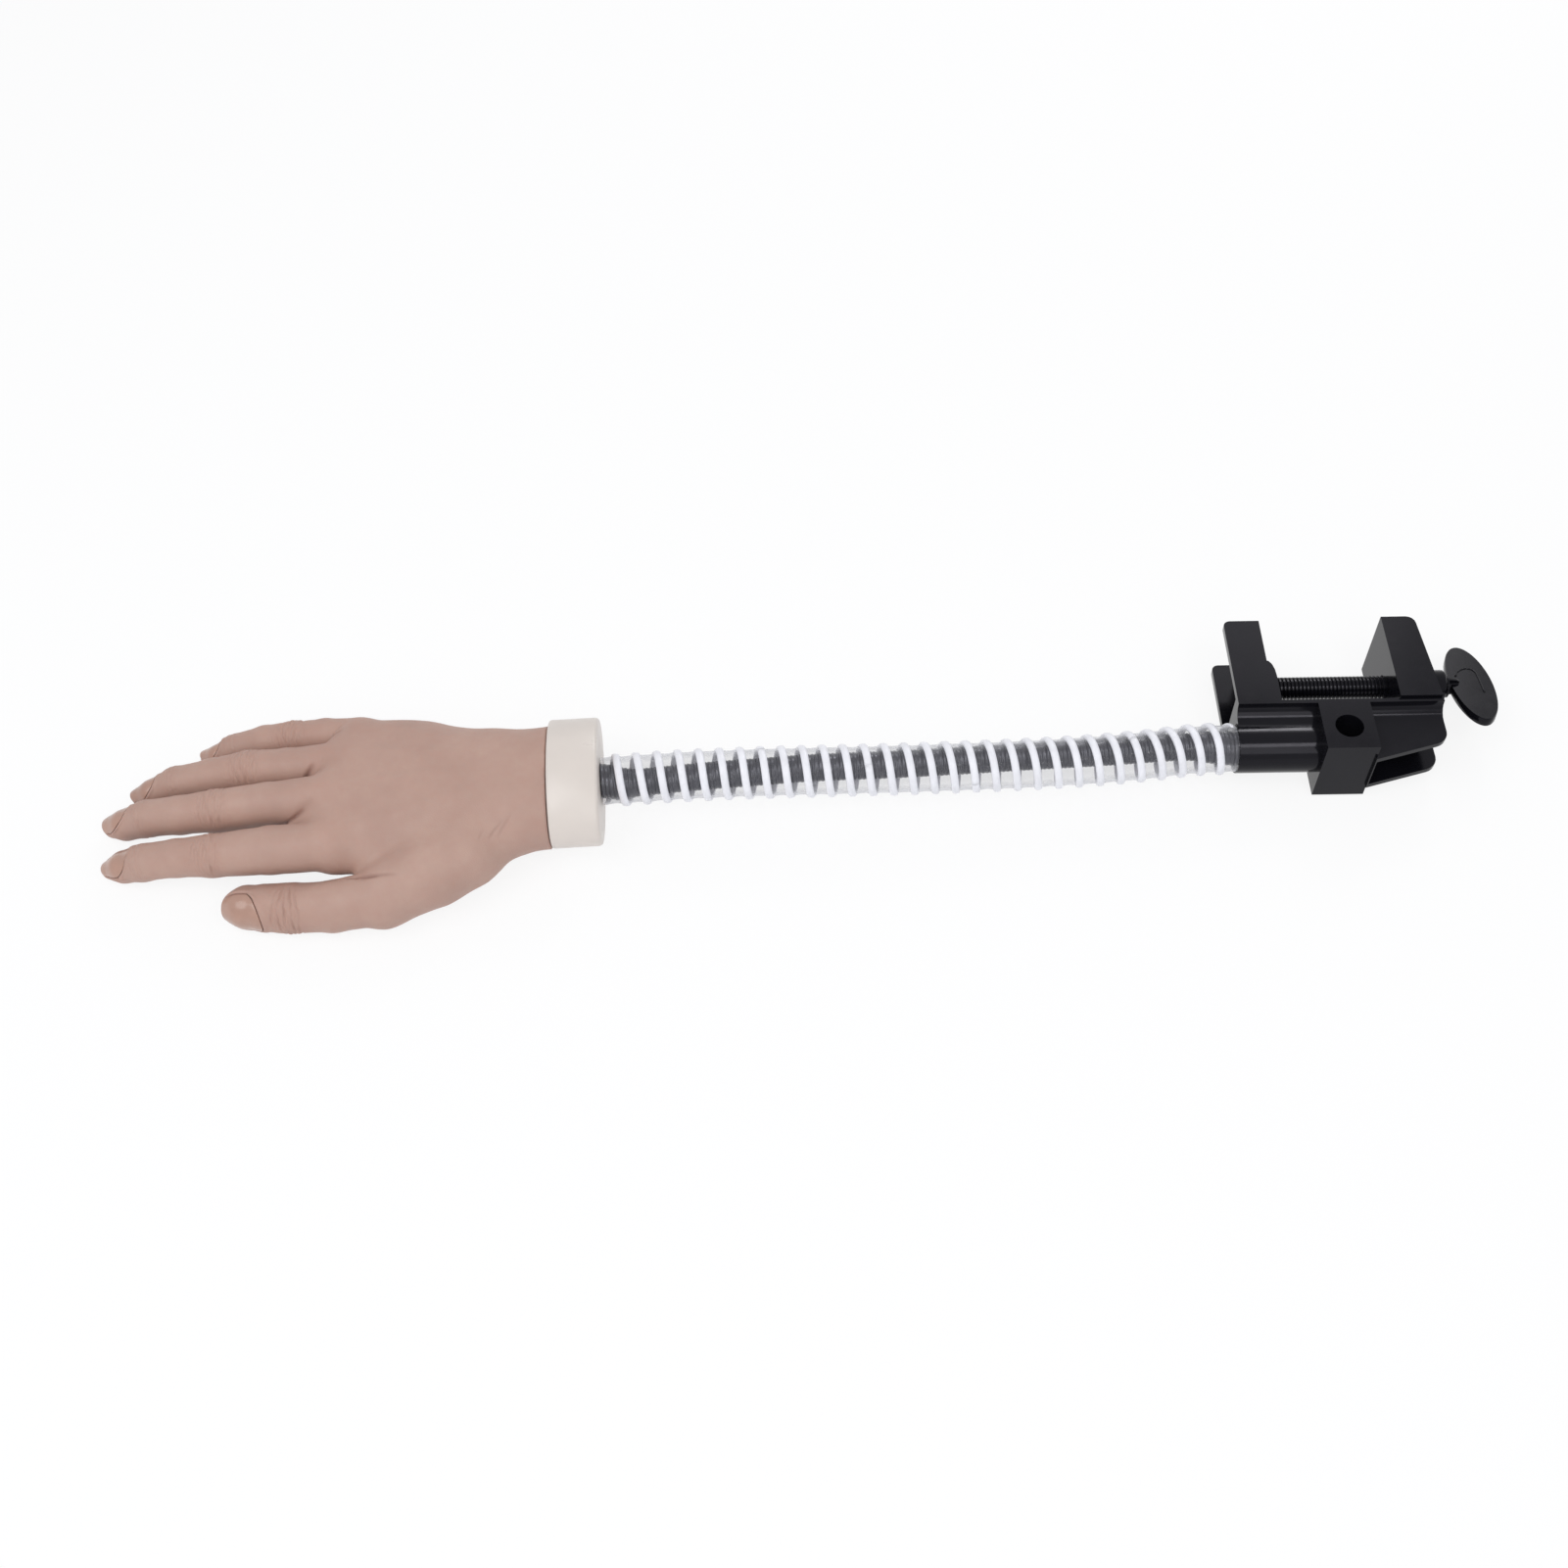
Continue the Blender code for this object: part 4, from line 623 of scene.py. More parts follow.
def settle(points, rounds):
    """Move points onto the skin."""
    for _ in range(rounds):
        slope = gradient(points)
        size = np.einsum("ij,ij->i", slope, slope)[:, None]
        step = np.clip(skin_distance(points), -LONGEST_STEP, LONGEST_STEP)
        points = points - step[:, None] * slope / np.maximum(size, 0.2)
    return points


def net(values, low, pitch):
    """Points and four-sided faces of the zero surface of values on a grid."""
    shape = np.array(values.shape)
    cells = tuple(shape - 1)
    total = np.zeros(cells + (3,))
    count = np.zeros(cells)
    crossings = []
    for axis in range(3):
        lower = [slice(None)] * 3
        upper = [slice(None)] * 3
        lower[axis], upper[axis] = slice(0, -1), slice(1, None)
        a, b = values[tuple(lower)], values[tuple(upper)]
        where = np.argwhere((a < 0) != (b < 0))
        va, vb = a[tuple(where.T)], b[tuple(where.T)]
        place = where.astype(float)
        place[:, axis] += va / (va - vb)
        crossings.append((where, va < 0))
        others = [i for i in range(3) if i != axis]
        for first in (0, 1):
            for second in (0, 1):
                cell = where.copy()
                cell[:, others[0]] -= first
                cell[:, others[1]] -= second
                good = np.all((cell >= 0) & (cell < shape - 1), axis=1)
                np.add.at(total, tuple(cell[good].T), place[good])
                np.add.at(count, tuple(cell[good].T), 1)
    used = count > 0
    index = np.full(cells, -1)
    index[used] = np.arange(used.sum())
    points = total[used] / count[used][:, None] * pitch + np.array(low)
    faces = []
    for axis, (where, inward) in enumerate(crossings):
        first, second = [i for i in range(3) if i != axis]
        good = (where[:, first] > 0) & (where[:, second] > 0)
        good &= (where[:, first] < shape[first] - 1) & (where[:, second] < shape[second] - 1)
        edge, flip = where[good], inward[good]
        corners = []
        for back_first, back_second in ((1, 1), (0, 1), (0, 0), (1, 0)):
            cell = edge.copy()
            cell[:, first] -= back_first
            cell[:, second] -= back_second
            corners.append(index[tuple(cell.T)])
        quad = np.array(corners).T
        turn = flip if axis != 1 else ~flip
        quad[~turn] = quad[~turn][:, ::-1]
        faces.append(quad)
    return points, np.concatenate(faces)


def unit(vector):
    """The same direction with length 1."""
    return vector / np.linalg.norm(vector)


def joint_axes(name, number):
    """Place and axes of a finger at one of its points: along it, sideways, and its back."""
    balls = np.array(FINGERS[name])[:, :3]
    here = balls[number]
    ahead = unit(balls[min(number + 1, len(balls) - 1)] - balls[max(number - 1, 0)])
    level = unit(np.cross((0.0, 0.0, 1.0), ahead))
    turn = math.radians(NAILS[name][2])
    side = math.cos(turn) * level - math.sin(turn) * np.cross(ahead, level)
    return here, ahead, side, np.cross(ahead, side)


def tip_axes(name):
    """The end of a finger and its axes, back along the finger, sideways and up."""
    balls = np.array(FINGERS[name])
    ahead = unit(balls[-1, :3] - balls[-3, :3])
    side = unit(np.cross((0.0, 0.0, 1.0), ahead))
    return balls[-1, :3] + ahead * balls[-1, 3] * 0.98, ahead, side, np.cross(ahead, side)


def nail_edges(name, across):
    """Free edge and root of a nail, back from the finger's end, at shares across it."""
    length, _, _, slant, bow, front = NAILS[name]
    corner = np.maximum(np.abs(across) - 0.72, 0.0) / 0.28
    free = front + 0.9 * across ** 2
    root = length - slant * across - bow * across ** 2 - 0.9 * corner ** 2
    return free, root


def nail_places(name, points):
    """How far back from the finger's end points are, and their angle from the nail's middle."""
    end, ahead, side, back = tip_axes(name)
    near = points - end
    angle = np.arctan2(near @ side, near @ back) - math.radians(NAILS[name][2])
    return -(near @ ahead), (angle + math.pi) % math.tau - math.pi


def nail_relief(name, points):
    """Seat, slot and fold of a nail, as heights at points, and a mark along the slot for its painted shade.
    """
    along, angle = nail_places(name, points)
    radius = FINGERS[name][-2][3]
    half = math.radians(NAILS[name][1])
    free, root = nail_edges(name, np.clip(angle / half, -1.0, 1.0))
    beyond = np.maximum((np.abs(angle) - half) * radius, along - root)
    seat = ramp(beyond, NAIL_SLOT, NAIL_SLOT - 0.45) * ramp(along - free, -1.0, 0.5)
    fold = np.exp(-((beyond - 1.5) / 1.2) ** 2) * (beyond > 0.0) * ramp(along, 1.5, 6.0)
    # Mark along the slot round the nail, used only for painted shade in the colour.
    slot = np.exp(-((beyond - 0.2) / 0.38) ** 2) * ramp(along, 1.5, 5.0)
    return -NAIL_SEAT * seat + 0.45 * fold, slot


def wrinkle_relief(points, normals, name, number, grooves, reach, seed):
    """Grooves across the back of a joint."""
    here, ahead, side, back = joint_axes(name, number)
    near = points - here
    along, across = near @ ahead, near @ side
    up = ramp(normals @ back, -0.05, 0.55)
    total = np.zeros(len(points))
    for i, (place, depth) in enumerate(grooves):
        bow = place * (1.0 - 0.0035 * across ** 2) + 0.26 * np.sin(across * 0.55 + 2.3 * i + seed)
        bow += 0.13 * np.sin(across * 1.5 + 4.1 * i + seed * 3.0)
        fade = 0.72 + 0.28 * np.sin(across * 0.42 + 1.7 * i + 2.0 * seed)
        total += depth * fade * np.exp(-((along - bow) / WRINKLE_WIDTH) ** 2)
    patch = up * ramp(np.abs(along), reach + 3.0, reach)
    total *= patch
    swell = 0.12 * np.exp(-(along / 5.5) ** 2) * up
    return swell - total, total, patch


def groove(points, normals, first, second, width, depth):
    """A groove between two points, deep in its middle and fading at its ends."""
    a, b = np.array(first, float), np.array(second, float)
    axis = b - a
    t = np.clip((points - a) @ axis / (axis @ axis), 0.0, 1.0)
    away = points - a - t[:, None] * axis
    out = np.einsum("ij,ij->i", away, normals)
    beside = np.linalg.norm(away - out[:, None] * normals, axis=1)
    reach = np.exp(-(beside / width) ** 2) * ramp(np.abs(out), 7.0, 4.0)
    return depth * reach * (0.15 + 0.85 * np.sin(math.pi * (0.15 + 0.85 * t)) ** 0.7)


def relief(points, normals, owner):
    """Height of the fine forms at points on the skin, with marks for the skin's colour and bumps: painted
    shade in its grooves, its pinker flush, and where it folds.
    """
    height, painted_crease_shade, flush, folded = (np.zeros(len(points)) for _ in range(4))
    for number, name in enumerate(FINGERS):
        mine = owner == number
        spots, facing = points[mine], normals[mine]
        grooves, reach = (THUMB_WRINKLES, 7.0) if name == "thumb" else (MIDDLE_WRINKLES, 8.0)
        total, depth, patch = wrinkle_relief(spots, facing, name, MIDDLE_JOINT, grooves, reach,
                                             1.3 * number)
        if name != "thumb":
            more, more_depth, more_patch = wrinkle_relief(spots, facing, name, END_JOINT, END_WRINKLES,
                                                          3.0, 0.7 + number)
            total, depth, patch = total + 0.6 * more, depth + more_depth, patch + more_patch
        folded[mine] = patch
        seat, slot = nail_relief(name, spots)
        height[mine] += total + seat
        # Painted shade in the grooves of the wrinkles and in the slot round the nail.
        painted_crease_shade[mine] += depth * 0.25 + slot * 0.8
        here = np.linalg.norm(spots - np.array(FINGERS[name][MIDDLE_JOINT][:3]), axis=1)
        flush[mine] += 0.35 * np.exp(-((here - 9.0) / 8.0) ** 2)
        tip = np.linalg.norm(spots - tip_axes(name)[0], axis=1)
        flush[mine] += 0.7 * np.exp(-(tip / 12.0) ** 2)
        for spot in JOINT_REACH:
            middle, ahead, _, back = joint_axes(name, spot)
            near = spots - middle
            fold = np.exp(-((near @ ahead) / 0.8) ** 2) * ramp(-(facing @ back), 0.2, 0.8)
            height[mine] -= 0.5 * fold
            # Painted shade in the fold under the joint.
            painted_crease_shade[mine] += 0.4 * fold
    for name, rise in KNUCKLE_RISES.items():
        knuckle = np.array(FINGERS[name][0][:3])
        knuckle[2] += FINGERS[name][0][3]
        near = np.linalg.norm(points - knuckle, axis=1)
        height += rise * np.exp(-(near / 9.0) ** 2)
        flush += 0.35 * np.exp(-(near / 11.0) ** 2)
        wrist = np.array((22.0, 0.35 * knuckle[1], 18.0))
        axis = knuckle - wrist
        t = np.clip((points - wrist) @ axis / (axis @ axis), 0.0, 1.0)
        away = np.abs(points[:, 1] - wrist[1] - t * axis[1])
        height += 0.35 * np.exp(-(away / 2.6) ** 2) * np.sin(math.pi * t) * ramp(normals[:, 2], 0.5, 0.9)
    for first, second, width, depth in CREASES:
        cut = groove(points, normals, first, second, width, depth)
        height -= cut
        # Painted shade along the crease.
        painted_crease_shade += 0.75 * cut
    waves = np.sin(points[:, 0] * 0.31 + 1.0) * np.sin(points[:, 1] * 0.27 + 0.4) + 0.6 * np.sin(
        points[:, 0] * 0.13 + points[:, 1] * 0.19 + points[:, 2] * 0.3)
    height += 0.10 * waves
    marks = {"painted_crease_shade": painted_crease_shade, "flush": flush, "folded": folded}
    return height, {key: np.clip(value, 0.0, 1.0) for key, value in marks.items()}


def finger_owner(points):
    """Number of the finger nearest to each point."""
    return np.argmin(np.array(list(finger_distances(points).values())), axis=0)


def refine(mesh, wanted):
    """Split the faces for which wanted(centres) holds into four, once."""
    centres = np.zeros(len(mesh.polygons) * 3)
    mesh.polygons.foreach_get("center", centres)
    chosen = wanted(centres.reshape(-1, 3))
    shape = bmesh.new()
    shape.from_mesh(mesh)
    shape.faces.ensure_lookup_table()
    edges = set(e for i in np.flatnonzero(chosen) for e in shape.faces[int(i)].edges)
    bmesh.ops.subdivide_edges(shape, edges=list(edges), cuts=1, use_grid_fill=True)
    shape.to_mesh(mesh)
    shape.free()


def near_joints(centres, margin):
    """Whether each point is near a wrinkled joint."""
    total = np.zeros(len(centres), bool)
    for name in FINGERS:
        for number, reach in JOINT_REACH.items():
            if name == "thumb" and number == END_JOINT:
                continue
            here, ahead, _, back = joint_axes(name, number)
            near = centres - here
            close = (np.abs(near @ ahead) < reach + margin) & (np.linalg.norm(near, axis=1) < 16.0)
            total |= close & (near @ back > 0.0)
    return total


def near_creases(centres):
    """Whether each point is near one of the skin's creases."""
    total = np.zeros(len(centres), bool)
    for first, second, width, _ in CREASES:
        a, b = np.array(first), np.array(second)
        t = np.clip((centres - a) @ (b - a) / ((b - a) @ (b - a)), 0.0, 1.0)
        away = np.linalg.norm(centres - a - t[:, None] * (b - a), axis=1)
        total |= away < 2.0 * width + 3.0
    return total


def near_nails(centres):
    """Whether each point is near a nail."""
    total = np.zeros(len(centres), bool)
    for name, (length, half, _, slant, _, _) in NAILS.items():
        along, angle = nail_places(name, centres)
        close = np.linalg.norm(centres - np.array(FINGERS[name][-2][:3]), axis=1) < 20.0
        close &= np.abs(angle) < math.radians(half + 25.0)
        total |= close & (along > -2.0) & (along < length + abs(slant) + 3.0)
    return total


def mesh_points(mesh):
    """Places of a mesh's points as rows."""
    found = np.zeros(len(mesh.vertices) * 3)
    mesh.vertices.foreach_get("co", found)
    return found.reshape(-1, 3)


def sculpt_skin():
    """The whole hand as one mesh, in millimetres in the hand's own axes."""
    low, high = np.array(GRID_LOW), np.array(GRID_HIGH)
    pitch = GRID_PITCH * 1.0
    axes = [np.arange(a, b, pitch) for a, b in zip(low, high)]
    grid = np.stack(np.meshgrid(*axes, indexing="ij"), axis=-1)
    values = skin_distance(grid.reshape(-1, 3)).reshape(grid.shape[:3])
    points, faces = net(values, low, pitch)
    points = settle(points, 2)
    mesh = bpy.data.meshes.new("sculpt")
    mesh.from_pydata(points.tolist(), [], faces.tolist())
    refine(mesh, lambda centres: near_joints(centres, 3.0) | near_nails(centres) | near_creases(centres))
    refine(mesh, lambda centres: near_joints(centres, 0.0) | near_nails(centres))
    points = settle(mesh_points(mesh), 2)
    slope = gradient(points)
    normals = slope / np.linalg.norm(slope, axis=1)[:, None]
    height, marks = relief(points, normals, finger_owner(points))
    free = ramp(points[:, 0], WRIST_GAP + 0.2, WRIST_GAP + 4.0) * ramp(points[:, 2], TABLE + 0.3, TABLE + 3.0)
    points = points + normals * (height * free)[:, None]
    points[:, 2] = np.maximum(points[:, 2], TABLE - 0.1)
    mesh.vertices.foreach_set("co", points.ravel())
    mesh.update()
    return mesh, points, marks


def finger_hinges(name):
    """Places of a finger's two hinges in the hand's own axes."""
    places = {j["name"]: world_to_hand(j["pos_m"]) for j in frame["joints"]}
    return places[name + "_knuckle"], places[name + "_middle_joint"]


def cut_skin(mesh, points, marks):
    """Split the skin at the fingers into the palm and two parts for each finger."""
    normals = np.zeros(len(mesh.vertices) * 3)
    mesh.vertex_normals.foreach_get("vector", normals)
    normals = normals.reshape(-1, 3) @ HAND_AXES
    faces = [tuple(p.vertices) for p in mesh.polygons]
    centres = np.array([points[list(f)].mean(axis=0) for f in faces])
    owner = finger_owner(centres)
    part = np.zeros(len(faces), int)
    for number, name in enumerate(FINGERS):
        knuckle, middle = finger_hinges(name)
        ahead = unit(middle - knuckle)
        start = knuckle + ahead * (FINGER_STARTS[name] - knuckle[0]) / ahead[0]
        split = (knuckle + middle) / 2 + ahead * 1.0
        mine = owner == number
        beyond = (centres - start) @ ahead > 0
        far = (centres - split) @ ahead > 0
        part[mine & beyond] = 2 * number + 1
        part[mine & beyond & far] = 2 * number + 2
    for number in range(2 * len(FINGERS) + 1):
        chosen = [faces[i] for i in np.flatnonzero(part == number)]
        used = np.unique(np.concatenate([np.array(f) for f in chosen]))
        lookup = np.full(len(points), -1)
        lookup[used] = np.arange(len(used))
        places = hand_to_world(points[used])
        finger = list(FINGERS)[(number - 1) // 2]
        label = "palm_skin" if number == 0 else finger + ("_skin_root" if number % 2 else "_skin_tip")
        made = new_piece(label, places, [lookup[list(f)] for f in chosen], SKIN)
        for key, value in marks.items():
            attribute = made.data.attributes.new(key, "FLOAT", "POINT")
            attribute.data.foreach_set("value", value[used].astype(np.float32))
        made.data.normals_split_custom_set_from_vertices(normals[used].tolist())
        join_finger(made, number, finger)


def join_finger(piece, number, finger):
    """Tie the palm's skin to the hand's body, and hide the solid that each part of the skin stands for."""
    if number == 0:
        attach(piece, "hand")
        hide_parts("palm")
        return
    if number % 2:
        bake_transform(piece)
        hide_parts(finger + "_base")
    else:
        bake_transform(piece)
        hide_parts(finger + "_tip")


def nail_reach(name, along, turn):
    """Radius of the fingertip's skin round its middle line, at distances and angles."""
    end, ahead, side, back = tip_axes(name)
    reach = np.full(along.shape, FINGERS[name][-2][3] + 4.0)
    way = np.cos(turn)[..., None] * back + np.sin(turn)[..., None] * side
    for _ in range(30):
        spots = end - along[..., None] * ahead + reach[..., None] * way
        reach = reach - 0.8 * chain_distance(spots.reshape(-1, 3), FINGERS[name]).reshape(along.shape)
    return reach, way


def make_nail(name):
    """A curved nail plate that follows the back of the fingertip."""
    end, ahead, side, back = tip_axes(name)
    _, half, turned, _, _, _ = NAILS[name]
    rows, columns = 30, 27
    across = np.linspace(-1.0, 1.0, columns)
    free, root = nail_edges(name, across)
    share = np.linspace(0.0, 1.0, rows)
    along = free[None, :] + share[:, None] * (root - free)[None, :]
    turn = np.broadcast_to(np.radians(across * half + turned), along.shape)
    level, step = 3.4, 2.0
    straight = np.maximum(along, level)
    reach, way = nail_reach(name, straight, turn)
    further, way = nail_reach(name, straight + step, turn)
    slope = (further - reach) / step
    reach = reach + np.where(along < level, (along - level) * slope, 0.0)
    crown = 0.10 + 0.22 * (1.0 - (across ** 2)[None, :]) * np.sin(math.pi * share)[:, None] ** 0.5
    ridges = 0.035 * np.sin(across * 34.0)[None, :] * ramp(share, 0.0, 0.15)[:, None]
    spots = end - along[..., None] * ahead + (reach + crown + ridges)[..., None] * way
    made = new_piece(name + "_nail_plate", hand_to_world(spots.reshape(-1, 3)),
                     grid_faces(rows, columns, closed=False), NAIL)
    outward = HAND_AXES @ np.array(made.data.polygons[columns * rows // 2].normal)
    if outward @ way[rows // 2, columns // 2] < 0:
        made.data.flip_normals()
    shell = made.modifiers.new("thickness", "SOLIDIFY")
    shell.thickness = NAIL_THICKNESS * MM
    shell.offset = -1.0
    edge = made.modifiers.new("edge", "BEVEL")
    edge.width = 0.22 * MM
    edge.segments = 2
    edge.limit_method = "ANGLE"
    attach(made, name + "_outer")
    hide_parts(name + "_nail")


def make_wires():
    """Wires inside the fingers, each in two curved stretches that run through its hinges."""
    for name, balls in FINGERS.items():
        knuckle, middle = finger_hinges(name)
        first = np.array((60.0, np.clip(0.75 * knuckle[1], -24.0, 24.0), 0.0))
        half_way = (knuckle + middle) / 2
        last = np.array(balls[-3][:3]) * 0.5 + np.array(balls[-2][:3]) * 0.5
        for label, line, bodies, hinge in (
                ("_wire_root", (first, knuckle, half_way), ("hand", name + "_inner"), knuckle),
                ("_wire_end", (half_way, middle, last), (name + "_inner", name + "_outer"), middle)):
            curve = smooth_line(hand_to_world(line), WIRE_PARTS)
            made = tube_piece(name + label, curve, WIRE_RADIUS, 10, STEEL)
            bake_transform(made)
            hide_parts(name + "_wire")


def smooth_line(knots, parts):
    """Points on a smooth curve through three knots."""
    a, b, c = (np.array(k) for k in knots)
    d = b + (b - (a + c) / 2) * 0.35
    line = []
    for i in range(parts + 1):
        t = i / parts
        line.append((1 - t) ** 2 * a + 2 * t * (1 - t) * d + t ** 2 * c)
    return line


def tube_piece(name, points, radius, sides, finish):
    """A round bar along points."""
    points = [Vector(p) for p in points]
    rings = []
    side = Vector((0, 1, 0))
    for i, point in enumerate(points):
        ahead = (points[min(i + 1, len(points) - 1)] - points[max(i - 1, 0)]).normalized()
        side = (side - side.dot(ahead) * ahead).normalized()
        up = ahead.cross(side)
        rings.append([point + radius * (math.cos(math.tau * k / sides) * side
                                        + math.sin(math.tau * k / sides) * up) for k in range(sides)])
    return rings_piece(name, rings, finish)


# Hose

def route_table():
    """Fine points along the hose, with their run, direction and two square directions."""
    knots = [HOSE_START + Vector((-a * HOSE_SPAN, -d * HOSE_DROP, a * HOSE_LIFT)) for a, d in ROUTE_SHARES]
    knots = [2 * knots[0] - knots[1]] + knots + [2 * knots[-1] - knots[-2]]
    fine = []
    parts = 12
    for a, b, c, d in zip(knots, knots[1:], knots[2:], knots[3:]):
        for i in range(parts):
            t = i / parts
            fine.append(0.5 * (2 * b + (c - a) * t + (2 * a - 5 * b + 4 * c - d) * t ** 2
                               + (3 * b - a - 3 * c + d) * t ** 3))
    fine.append(knots[-2])
    points = np.array([tuple(p) for p in fine])
    runs = np.concatenate(((0.0,), np.cumsum(np.linalg.norm(np.diff(points, axis=0), axis=1))))
    return points, runs


ROUTE, ROUTE_RUNS = route_table()
HOSE_RUN = ROUTE_RUNS[-1]


def route_at(runs):
    """Places and axes along the hose at distances from the clamp, also a little past its ends."""
    runs = np.asarray(runs, float)
    step = 1.5 * MM

    def place(run):
        inside = np.clip(run, 0.0, HOSE_RUN)
        spot = np.stack([np.interp(inside, ROUTE_RUNS, ROUTE[:, i]) for i in range(3)], axis=-1)
        first = (ROUTE[1] - ROUTE[0]) / ROUTE_RUNS[1]
        last = (ROUTE[-1] - ROUTE[-2]) / (ROUTE_RUNS[-1] - ROUTE_RUNS[-2])
        return (spot + np.minimum(run, 0.0)[:, None] * first
                + np.maximum(run - HOSE_RUN, 0.0)[:, None] * last)

    here = place(runs)
    ahead = place(runs + step) - place(runs - step)
    ahead /= np.linalg.norm(ahead, axis=1)[:, None]
    side = np.array((0.0, 1.0, 0.0)) - ahead[:, 1:2] * ahead
    side /= np.linalg.norm(side, axis=1)[:, None]
    return here, ahead, side, np.cross(ahead, side)


def hose_segments():
    """For each stretch round one hinge: its number, where it starts and ends, and its bodies."""
    bodies = ["clamp"] + ["neck_%02d" % (i + 1) for i in range(NECK_LINKS)]
    for i in range(NECK_LINKS):
        yield i, HOSE_RUN * i / NECK_LINKS, HOSE_RUN * (i + 1) / NECK_LINKS, bodies[i], bodies[i + 1]


def bend_with_neck(piece, number):
    """Bake the place of a stretch of the hose into its mesh; it is tied to no hinge."""
    middle, ahead, _, _ = (v[0] for v in route_at([HOSE_RUN * (number + 0.5) / NECK_LINKS]))
    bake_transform(piece)


def ring_points(here, side, up, radii, sides, turn=0.0):
    """Rings of points round places, with a radius for each ring or each point."""
    angles = math.tau * np.arange(sides) / sides + turn
    radii = np.broadcast_to(np.asarray(radii).reshape(len(here), -1), (len(here), sides))
    out = np.cos(angles)[None, :, None] * side[:, None, :] + np.sin(angles)[None, :, None] * up[:, None, :]
    return here[:, None, :] + radii[..., None] * out


def rib_turns(runs):
    """How many turns the rib has made at distances from the clamp."""
    return RIB_START_TURN + (runs - RIB_ROOM) / (HOSE_RUN - 2 * RIB_ROOM) * RIB_TURNS


def make_sleeve(number, start, end, first, second):
    """A stretch of the clear hose wall, drawn in a little between the turns of the rib."""
    sides = 48
    low = start + (SLEEVE_GAP if number == 0 else 0.0)
    high = end - (SLEEVE_GAP if number == NECK_LINKS - 1 else 0.0)
    runs = np.linspace(low, high, 34)
    here, _, side, up = route_at(runs)
    phase = rib_turns(runs)[:, None] - (np.arange(sides) / sides)[None, :]
    radii = SLEEVE_RADIUS - SLEEVE_DIP * (0.5 - 0.5 * np.cos(math.tau * phase))
    ripple = SLEEVE_RIPPLE * np.sin(9 * math.tau * np.arange(sides) / sides + 900.0 * runs[:, None])
    rings = ring_points(here, side, up, radii + ripple, sides)
    made = rings_piece("hose_wall_%02d" % (number + 1), rings, HOSE, capped=False)
    bend_with_neck(made, number)
    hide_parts("hose_sleeve")


def make_rib(number, start, end, first, second):
    """A stretch of the white rib wound round the hose."""
    low, high = max(start, RIB_END_ROOM), min(end, HOSE_RUN - RIB_END_ROOM)
    count = int((high - low) / HOSE_RUN * RIB_TURNS * 30) + 2
    runs = np.linspace(low, high, count)
    turns = math.tau * rib_turns(runs)
    lean = RIB_LEAN * ramp(runs / HOSE_RUN, 0.45, 0.9) * np.cos(turns - LEAN_ANGLE)
    here, ahead, side, up = route_at(runs - lean)
    out = np.cos(turns)[:, None] * side + np.sin(turns)[:, None] * up
    round_way = -np.sin(turns)[:, None] * side + np.cos(turns)[:, None] * up
    lead = (HOSE_RUN - 2 * RIB_ROOM) / RIB_TURNS / (math.tau * RIB_REACH)
    across = ahead - lead * round_way
    across /= np.linalg.norm(across, axis=1)[:, None]
    centre = here + RIB_REACH * out
    angles = math.tau * np.arange(14) / 14
    wide = np.sign(np.cos(angles)) * np.abs(np.cos(angles)) ** 0.8
    tall = np.sign(np.sin(angles)) * np.abs(np.sin(angles)) ** 0.8
    taper = np.ones(count)
    if number == 0:
        taper = np.clip((runs - low) / RIB_TAPER + 0.35, 0.0, 1.0)
    if number == NECK_LINKS - 1:
        taper = np.clip((high - runs) / RIB_TAPER + 0.35, 0.0, 1.0)
    rings = (centre[:, None, :] + RIB_HALF_WIDTH * (taper[:, None] * wide)[..., None] * across[:, None, :]
             + RIB_HALF_HEIGHT * (taper[:, None] * tall)[..., None] * out[:, None, :])
    made = rings_piece("hose_spiral_%02d" % (number + 1), rings, RIB)
    bend_with_neck(made, number)
    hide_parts("hose_rib")


def make_core(number, start, end, first, second):
    """A stretch of the gooseneck, a finely ridged steel tube that leans on the hose's wall."""
    sides = 30
    low = start - (CORE_TUCK if number == 0 else 0.0)
    high = end + (CORE_TUCK if number == NECK_LINKS - 1 else 0.0)
    count = int((high - low) / (CORE_PITCH / 5)) + 1
    runs = np.linspace(low, high, count)
    here, _, side, up = route_at(runs)
    shares, drifts = zip(*CORE_DRIFT)
    drift = curve_through(shares, drifts, np.clip(runs / HOSE_RUN, 0.0, 1.0)) * MM
    inside = ramp(runs, -0.5 * MM, 14.0 * MM) * ramp(runs, HOSE_RUN + 0.5 * MM, HOSE_RUN - 10.0 * MM)
    here = here + (drift * inside)[:, None] * (math.cos(LEAN_ANGLE) * side + math.sin(LEAN_ANGLE) * up)
    phase = runs[:, None] / CORE_PITCH - (np.arange(sides) / sides)[None, :]
    share = runs / HOSE_RUN
    swell = CORE_SWELL * (ramp(share, 0.08, 0.02) + ramp(share, 0.94, 0.98)) * ramp(share, -0.01, 0.0)
    swell *= ramp(share, 1.01, 1.0)
    radii = (CORE_RADIUS + swell)[:, None] + CORE_RIDGE * np.abs(np.sin(math.pi * phase))
    rings = ring_points(here, side, up, radii, sides)
    made = rings_piece("gooseneck_%02d" % (number + 1), rings, CORE)
    bend_with_neck(made, number)
    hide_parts("neck_link_%02d" % (number + 1))
    if number == 0:
        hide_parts("neck_stub")


# Wrist collar

